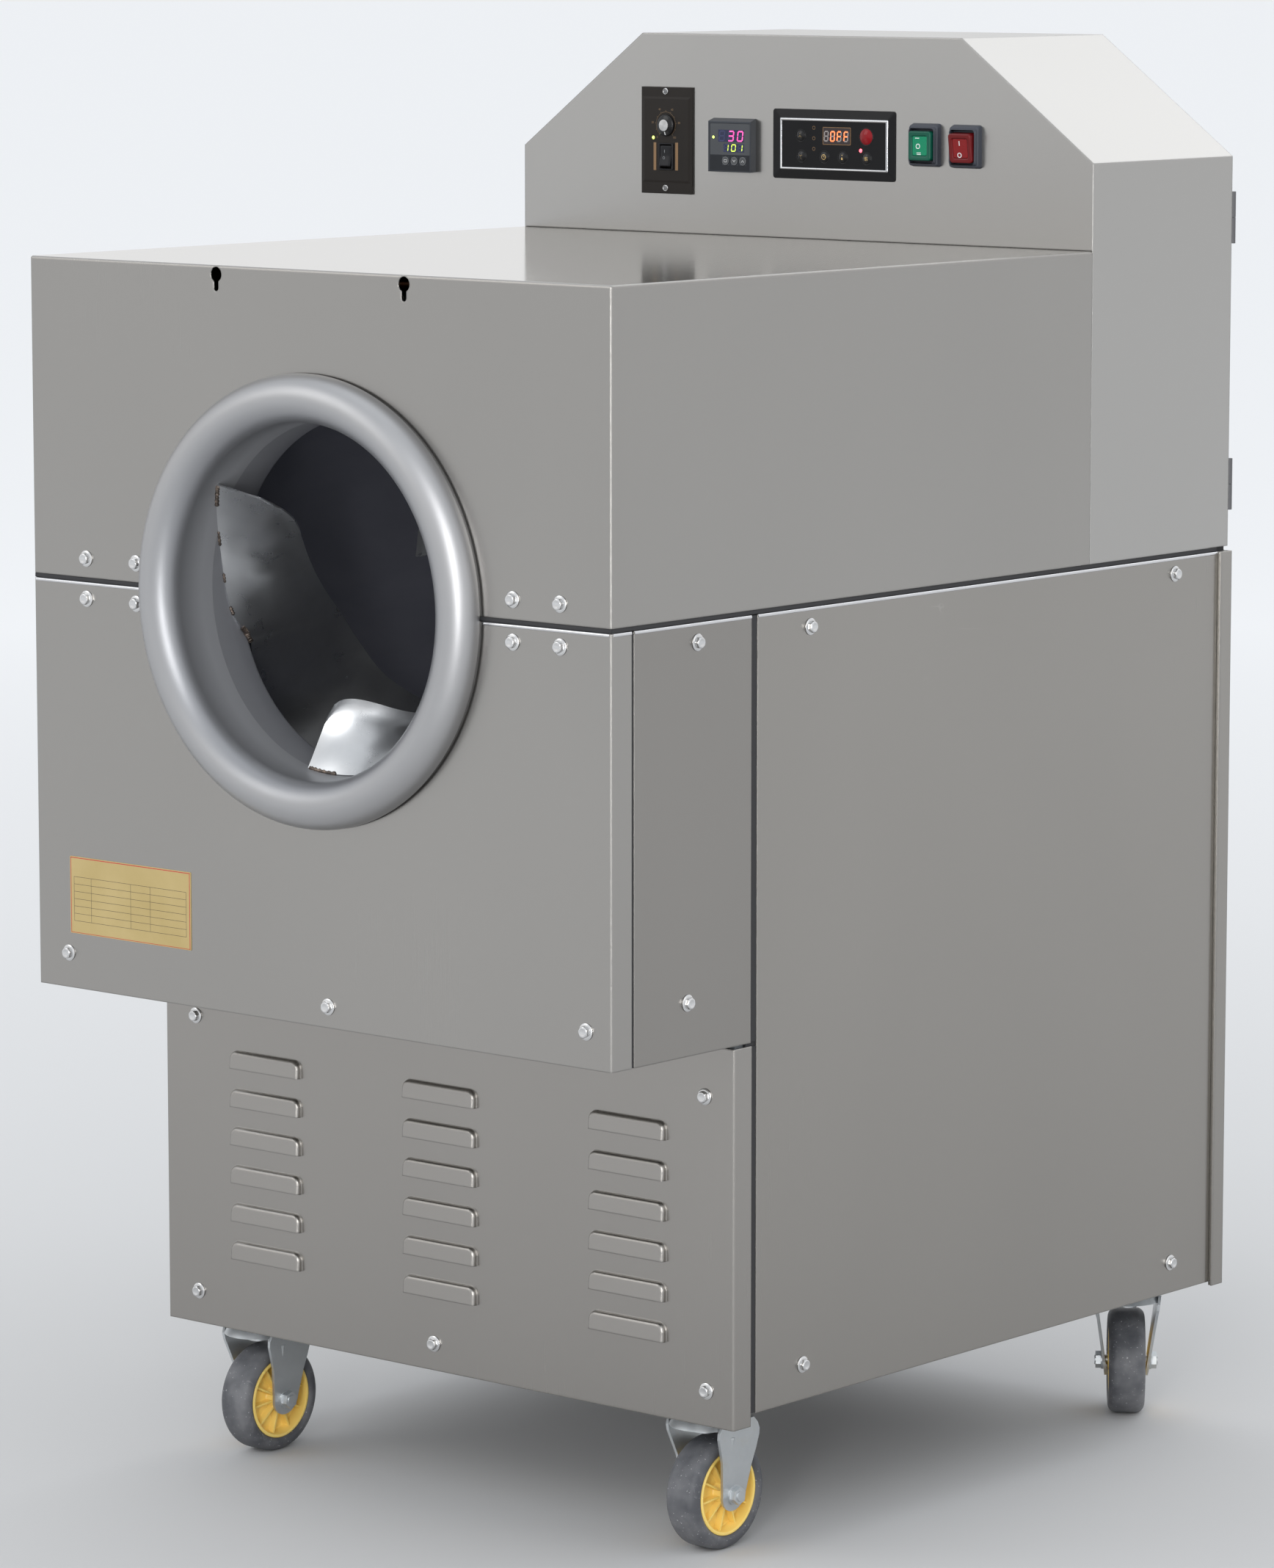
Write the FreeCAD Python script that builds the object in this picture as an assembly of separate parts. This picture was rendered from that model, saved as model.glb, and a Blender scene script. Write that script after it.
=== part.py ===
import FreeCAD, Part
import os, math
from FreeCAD import Vector as V

os.makedirs("parts", exist_ok=True)

# ---------------------------------------------------------------------------
# Driving dimensions, millimetres.
# Building coordinates: x = 0 on the centre line (+X the right-hand side),
# y = 0 on the face of the front panels and growing to the rear,
# z = 0 on the floor. At the end everything is moved by -Y0 along Y, so that the
# origin is the middle of the footprint on the floor.
# ---------------------------------------------------------------------------
Y0 = 470.0            # front face to origin
HW = 363.0            # half width over the sheet metal
T = 1.5               # sheet thickness

Z_LOUV0 = 134.0       # bottom edge of the louvred panel
Z_SIDE0 = 145.6       # bottom edge of the side panels
Z_FRAME = 147.0       # underside of the frame = top of the caster plates
Z_OVER = 493.2        # underside of the front overhang
Z_LOUV1 = 490.0       # top of the louvred panel
Z_LOW1 = 885.6        # top edge of all lower panels
Z_UP0 = 890.3         # bottom edge of the upper cover
Z_TOP = 1192.0        # top of the upper cover
Z_CH0 = 1276.0        # start of the housing chamfer
Z_CH1 = 1393.0        # top of the control housing
X_CH1 = 203.25        # half width of the housing's top

Y_FL = 27.6           # rear edge of the lower front panel's side flange
Y_SM0, Y_SM1 = 30.8, 194.8     # overhang side panel
Y_LOUV = 171.56       # face of the louvred panel
Y_LFL = 196.4         # rear edge of its flange
Y_BIG0, Y_BIG1 = 203.5, 939.5  # large side panel
Y_TOW = 709.65        # front face of the control housing
Y_TOWR = 941.2        # rear edge of the control housing
Y_RP = 943.2          # outer face of the rear panel
Y_RPF = 924.5         # front edge of its wrap-round flanges

# drum
DZ = 888.0            # drum axis height
R_HOLE = 178.0        # hole in the front panels
R_RING = 210.0        # outer radius of the rolled mouth ring
R_ROLL = 22.5         # radius of its rolled section
Y_RING = -3.5         # plane of the ring's edge
R_THR = 165.0         # inner radius of the throat
T_DR = 2.0
R_DR = 250.0          # outer radius of the drum
Y_THR, Y_CONE, Y_BACK = 80.0, 120.0, 520.0
R_SHAFT = 22.5
Y_SPR0, Y_SPR1 = 650.0, 659.0   # sprocket plane
PITCH = 15.875
N_DRUM, N_MOT = 38, 14
Z_MOT = 540.0         # height of the gear motor's shaft
R_ROLLER = 20.0       # front support roller
GAP = 0.3

# casters
R_WHEEL = 53.5
CASTERS = {           # name: (x, y, turn of the wheel axis in degrees, trail)
    "front_left": (-288.0, 221.0, 0.0, 14.0),
    "front_right": (288.0, 221.0, 0.0, 14.0),
    "rear_left": (-282.0, 898.0, -25.0, 16.0),
    "rear_right": (282.0, 898.0, 37.6, 16.0),
}

saved = []


# ---------------------------------------------------------------------------
# small helpers
# ---------------------------------------------------------------------------
def box(x0, x1, y0, y1, z0, z1):
    xa, xb = min(x0, x1), max(x0, x1)
    ya, yb = min(y0, y1), max(y0, y1)
    za, zb = min(z0, z1), max(z0, z1)
    return Part.makeBox(xb - xa, yb - ya, zb - za, V(xa, ya, za))


def cy(x, z, r, y0, y1):
    """cylinder along Y"""
    return Part.makeCylinder(r, y1 - y0, V(x, y0, z), V(0, 1, 0))


def cx(y, z, r, x0, x1):
    return Part.makeCylinder(r, x1 - x0, V(x0, y, z), V(1, 0, 0))


def cz(x, y, r, z0, z1):
    return Part.makeCylinder(r, z1 - z0, V(x, y, z0), V(0, 0, 1))


def fuse(parts):
    s = parts[0].multiFuse(parts[1:]) if len(parts) > 1 else parts[0]
    try:
        s = s.removeSplitter()
    except Exception:
        pass
    return s


def face_xz(pts, y):
    return Part.Face(Part.makePolygon([V(a, y, b) for a, b in pts] + [V(pts[0][0], y, pts[0][1])]))


def prism_xz(pts, y0, y1):
    return face_xz(pts, y0).extrude(V(0, y1 - y0, 0))


def prism_yz(pts, x0, x1):
    f = Part.Face(Part.makePolygon([V(x0, a, b) for a, b in pts] + [V(x0, pts[0][0], pts[0][1])]))
    return f.extrude(V(x1 - x0, 0, 0))


def hexagon(cxx, czz, af, y0, y1, turn=0.0):
    r = af / math.sqrt(3.0)
    pts = [(cxx + r * math.cos(math.radians(60 * i + turn)), czz + r * math.sin(math.radians(60 * i + turn)))
           for i in range(6)]
    return prism_xz(pts, y0, y1)


def revolve_y(edges_pts, cxx=0.0, czz=0.0):
    """edges_pts: list of ('l', (r, y)) and ('a', (r, y) through, (r, y) end); first item is the start point"""
    def p(q):
        return V(cxx + q[0], q[1], czz)
    start = p(edges_pts[0])
    cur = start
    ed = []
    for it in edges_pts[1:]:
        if it[0] == 'l':
            e = p(it[1])
            ed.append(Part.makeLine(cur, e))
            cur = e
        else:
            m, e = p(it[1]), p(it[2])
            ed.append(Part.Arc(cur, m, e).toShape())
            cur = e
    if (cur - start).Length > 1e-6:
        ed.append(Part.makeLine(cur, start))
    f = Part.Face(Part.Wire(ed))
    return f.revolve(V(cxx, 0, czz), V(0, 1, 0), 360)


def save(name, shape):
    s = shape.copy()
    s.translate(V(0, -Y0, 0))
    assert s.isValid(), name + " is not valid"
    n = len(s.Solids)
    vol = sum(q.Volume for q in s.Solids)
    assert n > 0 and vol > 0, name
    if n > 1:
        s = Part.makeCompound(s.Solids)
    else:
        s = s.Solids[0]
    s.exportStep("parts/%s.step" % name)
    b = s.BoundBox
    saved.append(name)
    print("%-26s solids %3d  cm3 %9.1f  x %7.1f %7.1f  y %7.1f %7.1f  z %7.1f %7.1f" % (
        name, n, vol / 1000.0, b.XMin, b.XMax, b.YMin, b.YMax, b.ZMin, b.ZMax))


def mirror_x(s):
    return s.mirror(V(0, 0, 0), V(1, 0, 0))


# ---------------------------------------------------------------------------
# frame of 40 x 40 x 3 angle steel
# ---------------------------------------------------------------------------
def angle_y(s, zv0, zv1, zh, y0, y1, x_out=358.0, a=40.0, t=3.0):
    """angle along Y on side s: vertical leg outside from zv0 to zv1, horizontal leg with underside zh"""
    return [box(s * (x_out - t), s * x_out, y0, y1, zv0, zv1), box(s * (x_out - a), s * x_out, y0, y1, zh, zh + t)]


def angle_x(yv0, yv1, z0, z1, yh0, yh1, zh, x0=-358.0, x1=358.0, t=3.0):
    return [box(x0, x1, yv0, yv1, z0, z1), box(x0, x1, yh0, yh1, zh, zh + t)]


XF, YA, YB, ZT = 358.0, 178.0, 938.0, 880.0
fr = []
for s in (-1, 1):
    fr += angle_y(s, Z_FRAME, Z_FRAME + 40, Z_FRAME, YA, YB)
    fr += angle_y(s, ZT - 40, ZT, ZT - 3, 6.0, YB)
    fr += angle_y(s, 420, 460, 457, YA, YB)
    fr += angle_y(s, 497, 537, 497, 6.0, YA + 3)
    for (yc, d) in ((YA, 1), (YB, -1)):
        fr += [box(s * (XF - 3), s * XF, yc, yc + d * 40, Z_FRAME, ZT), box(s * (XF - 40), s * XF, yc, yc + d * 3, Z_FRAME, ZT)]
    fr += [box(s * (XF - 3), s * XF, 6, 46, 497, ZT), box(s * (XF - 40), s * XF, 6, 9, 497, ZT)]
    fr += [box(s * 215, s * XF, 6, 9, ZT - 40, ZT)]
    # gussets that carry the casters
    fr += [box(s * 240, s * XF, YA, 268, Z_FRAME, Z_FRAME + 3), box(s * 236, s * XF, 850, YB, Z_FRAME, Z_FRAME + 3)]
fr += angle_x(YA, YA + 3, Z_FRAME, Z_FRAME + 40, YA, YA + 40, Z_FRAME)
fr += angle_x(YB - 3, YB, Z_FRAME, Z_FRAME + 40, YB - 40, YB, Z_FRAME)
fr += angle_x(YB - 3, YB, ZT - 40, ZT, YB - 40, YB, ZT - 3)
fr += angle_x(6, 9, 497, 537, 6, 46, 497)
fr += angle_x(40, 43, 497, 537, 40, 80, 497)
# cross bars of the power module, motor shelf and bearing beam
fr += [box(-XF, XF, 300, 330, 187, 190), box(-XF, XF, 560, 590, 187, 190)]
fr += angle_x(478, 481, 420, 460, 478, 518, 457) + angle_x(647, 650, 420, 460, 610, 650, 457)
fr += [box(-150, 150, 478, 650, 460, 464)]
fr += [box(-XF, XF, 574, 577, 783, 823), box(-XF, XF, 574, 614, 820, 823), box(-XF, XF, 574, 614, 783, 786)]
for s in (-1, 1):                     # hangers of the bearing beam
    fr += [box(s * (XF - 3), s * XF, 574, 614, 783, ZT)]
frame = fuse(fr)
for nm, (x, y, a, e) in CASTERS.items():
    for dx in (-28, 28):
        for dy in (-29, 29):
            frame = frame.cut(cz(x + dx, y + dy, 4.3, 140, 155))
save("base_frame", frame)

# ---------------------------------------------------------------------------
# upper cover with half of the drum hole and two keyholes
# ---------------------------------------------------------------------------
outer = box(-HW, HW, 0, Y_TOW - 0.15, Z_UP0, Z_TOP)
# rounded bends
vert = [e for e in outer.Edges if abs(e.BoundBox.ZLength - (Z_TOP - Z_UP0)) < 1e-3 and e.BoundBox.YMax < 1]
topf = [e for e in outer.Edges if e.BoundBox.ZMin > Z_TOP - 0.01 and (e.BoundBox.YMax < 1 or e.BoundBox.XLength < 0.01)]
outer = outer.makeFillet(2.2, vert + topf)
inner = box(-HW + T, HW - T, T, Y_TOW + 5, Z_UP0 - 5, Z_TOP - T)
cov = outer.cut(inner)
cov = cov.cut(cy(0, DZ, R_HOLE, -5, 5))
for kx in (-117.5, 117.5):
    cov = cov.cut(cy(kx, 1183.6, 7.0, -5, 5).fuse(box(kx - 3.15, kx + 3.15, -5, 5, 1171.2, 1183.6)).fuse(cy(kx, 1171.2, 3.15, -5, 5)))
FRONT_X = (-292.0, -226.0, 247.0, 303.0)
for x in FRONT_X:
    cov = cov.cut(cy(x, 908.2, 3.3, -5, 5))
save("upper_cover", cov)

# ---------------------------------------------------------------------------
# control housing
# ---------------------------------------------------------------------------
def outline(off, z0):
    """house outline, moved inwards by off"""
    # chamfer line from (HW, Z_CH0) to (X_CH1, Z_CH1)
    dx, dz = X_CH1 - HW, Z_CH1 - Z_CH0
    L = math.hypot(dx, dz)
    nx, nz = -dz / L, dx / L          # inward normal of the right chamfer
    ax, az = HW + nx * off, Z_CH0 + nz * off
    # intersect the offset chamfer with x = HW - off and z = Z_CH1 - off
    t1 = (HW - off - ax) / dx
    z_at = az + t1 * dz
    t2 = (Z_CH1 - off - az) / dz
    x_at = ax + t2 * dx
    h = HW - off
    return [(-h, z0), (h, z0), (h, z_at), (x_at, Z_CH1 - off), (-x_at, Z_CH1 - off), (-h, z_at)]


shell_o = prism_xz(outline(0, Z_UP0), Y_TOW + 0.15, Y_TOWR)
shell_i = prism_xz(outline(T, Z_UP0 - 10), Y_TOW - 5, Y_TOWR + 5)
tow = shell_o.cut(shell_i)
front_wall = prism_xz(outline(0, Z_TOP + 0.2), Y_TOW, Y_TOW + T)
foot = box(-HW + T, HW - T, Y_TOW + 0.15, Y_TOW + 14, Z_TOP - T, Z_TOP - 0.02)
foot = box(-HW + 0.5, HW - 0.5, Y_TOW + 0.15, Y_TOW + 14, Z_TOP + 0.2, Z_TOP + 1.7)
# return flange: a strip ring of its own, welded inside the rear edge
ret_o = prism_xz(outline(T + 0.05, Z_UP0), Y_TOWR - T, Y_TOWR)
ret_i = prism_xz(outline(16.0, Z_UP0 + 15.5), Y_TOWR - 5, Y_TOWR + 5)
ret = ret_o.cut(ret_i)
tow = fuse([tow, front_wall, foot])
# clearance for the hinge knuckles and leaves at the rear right edge
HINGES = ((1190.0, 1241.0), (926.0, 977.0))
PX, PY, PR = 359.6, 946.4, 3.6
for (za, zb) in HINGES:
    ret = ret.cut(box(340, HW - T, Y_TOWR - 3, Y_TOWR + 3, za - 1, zb + 1))
    tow = tow.cut(cz(PX, PY, PR + 0.5, za - 1, zb + 1))

# places of the controls on the housing's front
SP = dict(x0=-202.8, x1=-136.1, z0=1231.5, z1=1338.9)         # speed controller plate
PC = (-31.8, 122.8, 1251.3, 1320.2)                           # power controller
SW = ((160.9, 1288.0), (210.7, 1287.6))                       # rocker switches
SCX, SCZ = -170.4, (1334.6, 1237.25)                          # screws of the speed controller
tow = tow.cut(box(-195.5, -144.5, Y_TOW - 5, Y_TOW + 5, 1242.5, 1328.5))
tow = tow.cut(box(-104.2, -58.2, Y_TOW - 5, Y_TOW + 5, 1257.7, 1303.7))
tow = tow.cut(box(-20.5, 112.5, Y_TOW - 5, Y_TOW + 5, 1257.5, 1314.0))
for (sx, sz) in SW:
    tow = tow.cut(box(sx - 11.5, sx + 11.5, Y_TOW - 5, Y_TOW + 5, sz - 14.5, sz + 14.5))
for sz in SCZ:
    tow = tow.cut(cy(SCX, sz, 2.1, Y_TOW - 5, Y_TOW + 5))
save("control_tower", Part.makeCompound(tow.Solids + ret.Solids))

# ---------------------------------------------------------------------------
# lower front panel: face, side flanges, floor of the overhang
# ---------------------------------------------------------------------------
lo = box(-HW, HW, 0, Y_FL, Z_OVER, Z_LOW1)
vert = [e for e in lo.Edges if abs(e.BoundBox.ZLength - (Z_LOW1 - Z_OVER)) < 1e-3 and e.BoundBox.YMax < 1]
lo = lo.makeFillet(2.2, vert)
lo = lo.cut(box(-HW + T, HW - T, T, 400, Z_OVER + T, Z_LOW1 + 5))
lo = fuse([lo, box(-HW + T, HW - T, T, Y_FL, Z_OVER, Z_OVER + T), box(-HW + T + 0.3, HW - T - 0.3, Y_FL - 0.1, 169.8, Z_OVER, Z_OVER + T)])
lo = lo.cut(cy(0, DZ, R_HOLE, -5, 5))
LOW_BOLTS = [(x, 870.0) for x in FRONT_X] + [(-322.0, 526.7), (18.0, 513.2), (333.0, 527.2)]
for (x, z) in LOW_BOLTS:
    lo = lo.cut(cy(x, z, 3.3, -5, 5))
save("lower_front_panel", lo)

# overhang side panels
SM_BOLTS = ((118.5, 868.0), (105.0, 542.3))
sm = box(HW - T, HW, Y_SM0, Y_SM1, Z_OVER, Z_LOW1)
for (y, z) in SM_BOLTS:
    sm = sm.cut(cx(y, z, 3.3, 350, 370))
save("front_side_panels", Part.makeCompound([sm, mirror_x(sm)]))

# large side panels
BIG_BOLTS = ((279.5, 868.0), (852.0, 869.5), (272.0, 179.0), (858.0, 176.5))
bs = box(HW - T, HW, Y_BIG0, Y_BIG1, Z_SIDE0, Z_LOW1)
for (y, z) in BIG_BOLTS:
    bs = bs.cut(cx(y, z, 3.3, 350, 370))
save("right_side_panel", bs)
save("left_side_panel", mirror_x(bs))


# ---------------------------------------------------------------------------
# louvres: pressed hoods, open underneath
# ---------------------------------------------------------------------------
def louvre(xc, zc, yf, out, w=92.0, h=17.5, d=4.6, lean=0.075, t=1.2):
    """hood on the plane y = yf standing out along 'out' (-1 front, +1 rear) by d at its top and
    leaning outwards by lean per unit of height towards its open lower edge"""
    def hood(w_, h_, d_, r1, r2, ztop):
        b = prism_yz([(0, ztop), (d_, ztop), (d_ + lean * h_, ztop - h_), (0, ztop - h_)], xc - w_ / 2, xc + w_ / 2)
        # corners seen from the front
        e1 = [e for e in b.Edges if e.BoundBox.YLength > d_ - 0.01 and e.BoundBox.ZMin > ztop - 0.01 and e.BoundBox.XLength < 0.01]
        b = b.makeFillet(r1, e1)
        fr_ = [e for e in b.Edges if e.BoundBox.YMin > d_ - 0.01 and e.BoundBox.ZMax > ztop - h_ + 0.5]
        b = b.makeFillet(r2, fr_)
        return b
    o = hood(w, h, d, 8.0, 3.4, zc + h / 2)
    i = hood(w - 2 * t, h - t + 3, d - t, 6.8, 2.2, zc + h / 2 - t)
    hole = box(xc - w / 2 + 6, xc + w / 2 - 6, -T - 0.4, T + 0.4, zc - h / 2 + 1.0, zc + h / 2 - 5)
    if out > 0:
        for q in (o, i):
            q.translate(V(0, yf, 0))
        hole.translate(V(0, yf, 0))
    else:
        o = o.mirror(V(0, 0, 0), V(0, 1, 0))
        i = i.mirror(V(0, 0, 0), V(0, 1, 0))
        for q in (o, i, hole):
            q.translate(V(0, yf, 0))
    return o, i, hole


LV_X = (-227.0, 1.5, 236.0)
LV_Z = (404.6, 366.6, 328.6, 290.6, 252.6, 214.6)
lp = box(-HW, HW, Y_LOUV, Y_LFL, Z_LOUV0, Z_LOUV1)
vert = [e for e in lp.Edges if abs(e.BoundBox.ZLength - (Z_LOUV1 - Z_LOUV0)) < 1e-3 and e.BoundBox.YMax < Y_LOUV + 1]
lp = lp.makeFillet(2.2, vert)
lp = lp.cut(box(-HW + T, HW - T, Y_LOUV + T, Y_LFL + 5, Z_LOUV0 - 5, Z_LOUV1 + 5))
hoods, inners, holes = [], [], []
for x in LV_X:
    for z in LV_Z:
        o, i, hl = louvre(x, z, Y_LOUV, -1)
        hoods.append(o)
        inners.append(i)
        holes.append(hl)
lp = lp.multiFuse(hoods).cut(Part.makeCompound(inners)).cut(Part.makeCompound(holes))
LP_BOLTS = ((-322.0, 442.0), (328.0, 442.5), (-321.0, 166.0), (-8.0, 160.0), (330.5, 167.0))
for (x, z) in LP_BOLTS:
    lp = lp.cut(cy(x, z, 3.3, Y_LOUV - 5, Y_LOUV + 5))
save("louvre_panel", lp)

# rear panel with wrap-round flanges, fan outlet and louvres
RP_H = 367.0
FAN_X, FAN_Z = 0.0, 300.0
rp = box(-RP_H, RP_H, Y_RPF, Y_RP, 141.8, Z_LOW1)
rp = rp.cut(box(-RP_H + T, RP_H - T, Y_RPF - 5, Y_RP - T, 130, 900))
hoods, inners, holes = [], [], []
for x in (-180.0, 180.0):
    for k in range(6):
        o, i, hl = louvre(x, 640.0 - 38.0 * k, Y_RP, 1)
        hoods.append(o)
        inners.append(i)
        holes.append(hl)
rp = rp.multiFuse(hoods).cut(Part.makeCompound(inners)).cut(Part.makeCompound(holes))
slots = []
for k in range(-4, 5):
    zz = FAN_Z + 12.0 * k
    half = math.sqrt(max(56.0 ** 2 - (abs(zz - FAN_Z) + 3) ** 2, 1.0))
    for sgn in (-1, 1):
        slots.append(box(sgn * 3.0, sgn * half, Y_RP - 5, Y_RP + 5, zz - 3.5, zz + 3.5))
rp = rp.cut(Part.makeCompound(slots))
RP_BOLTS = [(x, z) for x in (-335.0, 335.0) for z in (172.0, 515.0, 862.0)]
for (x, z) in RP_BOLTS:
    rp = rp.cut(cy(x, z, 3.3, Y_RP - 5, Y_RP + 5))
GL_X, GL_Z = -290.0, 215.0
rp = rp.cut(cy(GL_X, GL_Z, 8.1, Y_RP - 5, Y_RP + 5))
save("rear_panel", rp)

# ---------------------------------------------------------------------------
# dark seal strips behind the gaps
# ---------------------------------------------------------------------------
seal = []
for s in (-1, 1):
    seal.append(box(s * 344, s * 359.5, 3.5, 939.5, 880.15, 889.8))
    seal.append(box(s * 202, s * 343.8, 3.5, 19, 880.15, 889.8))
    seal.append(box(s * 358.2, s * 361.3, 22, 36, 497.5, 879.9))
    seal.append(box(s * 358.2, s * 361.3, 198.5 - 9, 198.5 + 12, 147.5, 879.9))
save("body_seals", Part.makeCompound(seal))

# bare plate on the lower front panel
pl = box(-319.0, -157.8, -0.8, 0.0, 546.5, 621.0)
save("blank_plate", pl)


# ---------------------------------------------------------------------------
# hex flange bolts (one pattern) and the two screws of the speed controller
# ---------------------------------------------------------------------------
def flange_bolt(p, direction, turn):
    """bolt whose flange lies on point p, head pointing along direction"""
    f = Part.makeCylinder(7.8, 1.3, V(0, 0, 0), V(0, 0, 1))
    r = 10.0 / math.sqrt(3.0)
    pts = [V(r * math.cos(math.radians(60 * i + turn)), r * math.sin(math.radians(60 * i + turn)), 1.2) for i in range(7)]
    h = Part.Face(Part.makePolygon(pts)).extrude(V(0, 0, 4.3))
    cone = Part.makeCone(7.4, 4.2, 3.2, V(0, 0, 2.45), V(0, 0, 1))
    h = h.common(fuse([cone, Part.makeCylinder(7.4, 1.3, V(0, 0, 1.2), V(0, 0, 1))]))
    dimple = Part.makeCone(2.6, 3.6, 0.6, V(0, 0, 5.0), V(0, 0, 1))
    s = Part.makeCylinder(3.0, 4.6, V(0, 0, -4.6), V(0, 0, 1))
    b = fuse([f, h, s]).cut(dimple)
    rot = FreeCAD.Rotation(V(0, 0, 1), direction)
    b.Placement = FreeCAD.Placement(p, rot)
    return b


bolts = []
n = 0
for x in FRONT_X:
    bolts.append(flange_bolt(V(x, 0, 908.2), V(0, -1, 0), 13 + 37 * n)); n += 1
for (x, z) in LOW_BOLTS:
    bolts.append(flange_bolt(V(x, 0, z), V(0, -1, 0), 13 + 37 * n)); n += 1
for (x, z) in LP_BOLTS:
    bolts.append(flange_bolt(V(x, Y_LOUV, z), V(0, -1, 0), 13 + 37 * n)); n += 1
for (x, z) in RP_BOLTS:
    bolts.append(flange_bolt(V(x, Y_RP, z), V(0, 1, 0), 13 + 37 * n)); n += 1
for (y, z) in SM_BOLTS + BIG_BOLTS:
    for s in (-1, 1):
        bolts.append(flange_bolt(V(s * HW, y, z), V(s, 0, 0), 13 + 37 * n)); n += 1
for z in SCZ:
    hd = Part.makeCone(3.3, 2.7, 1.1, V(SCX, Y_TOW - 2.8, z), V(0, -1, 0))
    hd = hd.cut(cy(SCX, z, 1.9, Y_TOW - 7, Y_TOW - 3.3))
    bolts.append(fuse([hd, cy(SCX, z, 1.85, Y_TOW - 2.8, Y_TOW + 6)]))
save("panel_fasteners", Part.makeCompound(bolts))

# ---------------------------------------------------------------------------
# drum
# ---------------------------------------------------------------------------
rc = R_RING - R_ROLL
ri = R_ROLL - T_DR
ring = revolve_y([
    (R_RING, Y_RING),
    ('a', (rc + R_ROLL * math.cos(math.radians(45)), Y_RING - R_ROLL * math.sin(math.radians(45))), (rc, Y_RING - R_ROLL)),
    ('a', (rc - R_ROLL * math.cos(math.radians(45)), Y_RING - R_ROLL * math.sin(math.radians(45))), (R_THR, Y_RING)),
    ('l', (R_THR, 40.0)),
    ('l', (R_THR + T_DR, 40.0)),
    ('l', (R_THR + T_DR, Y_RING)),
    ('a', (rc - ri * math.cos(math.radians(45)), Y_RING - ri * math.sin(math.radians(45))), (rc, Y_RING - ri)),
    ('a', (rc + ri * math.cos(math.radians(45)), Y_RING - ri * math.sin(math.radians(45))), (R_RING - T_DR, Y_RING)),
], 0, DZ)
save("mouth_ring", ring)

drum = revolve_y([
    (R_THR, 40.0), ('l', (R_THR, Y_THR)), ('l', (R_DR - T_DR, Y_CONE)), ('l', (R_DR - T_DR, Y_BACK - 3)),
    ('l', (0, Y_BACK - 3)), ('l', (0, Y_BACK)), ('l', (R_DR, Y_BACK)), ('l', (R_DR, Y_CONE - 0.9)),
    ('l', (R_THR + T_DR, Y_THR - 0.9)), ('l', (R_THR + T_DR, 40.0)),
], 0, DZ)
save("drum_shell", drum)

# spiral vanes: rulings from the wall to the inner edge (angle in degrees, radius, y)
VW = [(143, 164.2, 14), (168, 164.2, 47), (189, 164.2, 63), (198, 163.6, 78), (206, 184, 92.5), (215, 234, 118.5),
      (230, 246.5, 165), (250, 246.5, 260), (268, 246.5, 380), (282, 246.5, 505)]
VI = [(147, 103, 78), (165, 118, 115), (182, 129, 150), (194, 139, 180), (206, 148, 205), (220, 158, 235),
      (236, 166, 290), (252, 172, 360), (268, 175, 440), (282, 175, 505)]


def hermite(tab, u):
    """smooth interpolation of a table of tuples at u in 0..len-1"""
    n_ = len(tab) - 1
    i = min(int(u), n_ - 1)
    f = u - i
    out = []
    for c in range(3):
        p0 = tab[max(i - 1, 0)][c]; p1 = tab[i][c]; p2 = tab[i + 1][c]; p3 = tab[min(i + 2, n_)][c]
        m1, m2 = (p2 - p0) / 2.0, (p3 - p1) / 2.0
        if c == 1:                       # radii do not overshoot
            m1 = m2 = 0.0 if abs(p2 - p1) < 1e-9 else (p2 - p1)
        out.append((2 * f ** 3 - 3 * f ** 2 + 1) * p1 + (f ** 3 - 2 * f ** 2 + f) * m1 + (-2 * f ** 3 + 3 * f ** 2) * p2 + (f ** 3 - f ** 2) * m2)
    return out


def r_inside(y):
    """inner radius of throat, cone and drum at depth y"""
    if y <= Y_THR:
        return R_THR
    if y >= Y_CONE:
        return R_DR - T_DR
    return R_THR + (R_DR - T_DR - R_THR) * (y - Y_THR) / (Y_CONE - Y_THR)


V_FRONT = {           # front end of each vane: wall knot, first two inner knots
    0: ((143, 164.2, 14), (134, 106, 60), VI[1]),
    120: ((137, 164.2, 34), (135.7, 88, 60), VI[1]),
    240: ((143, 164.2, 14), (147, 88, 60), (174, 90, 100))}


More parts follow.
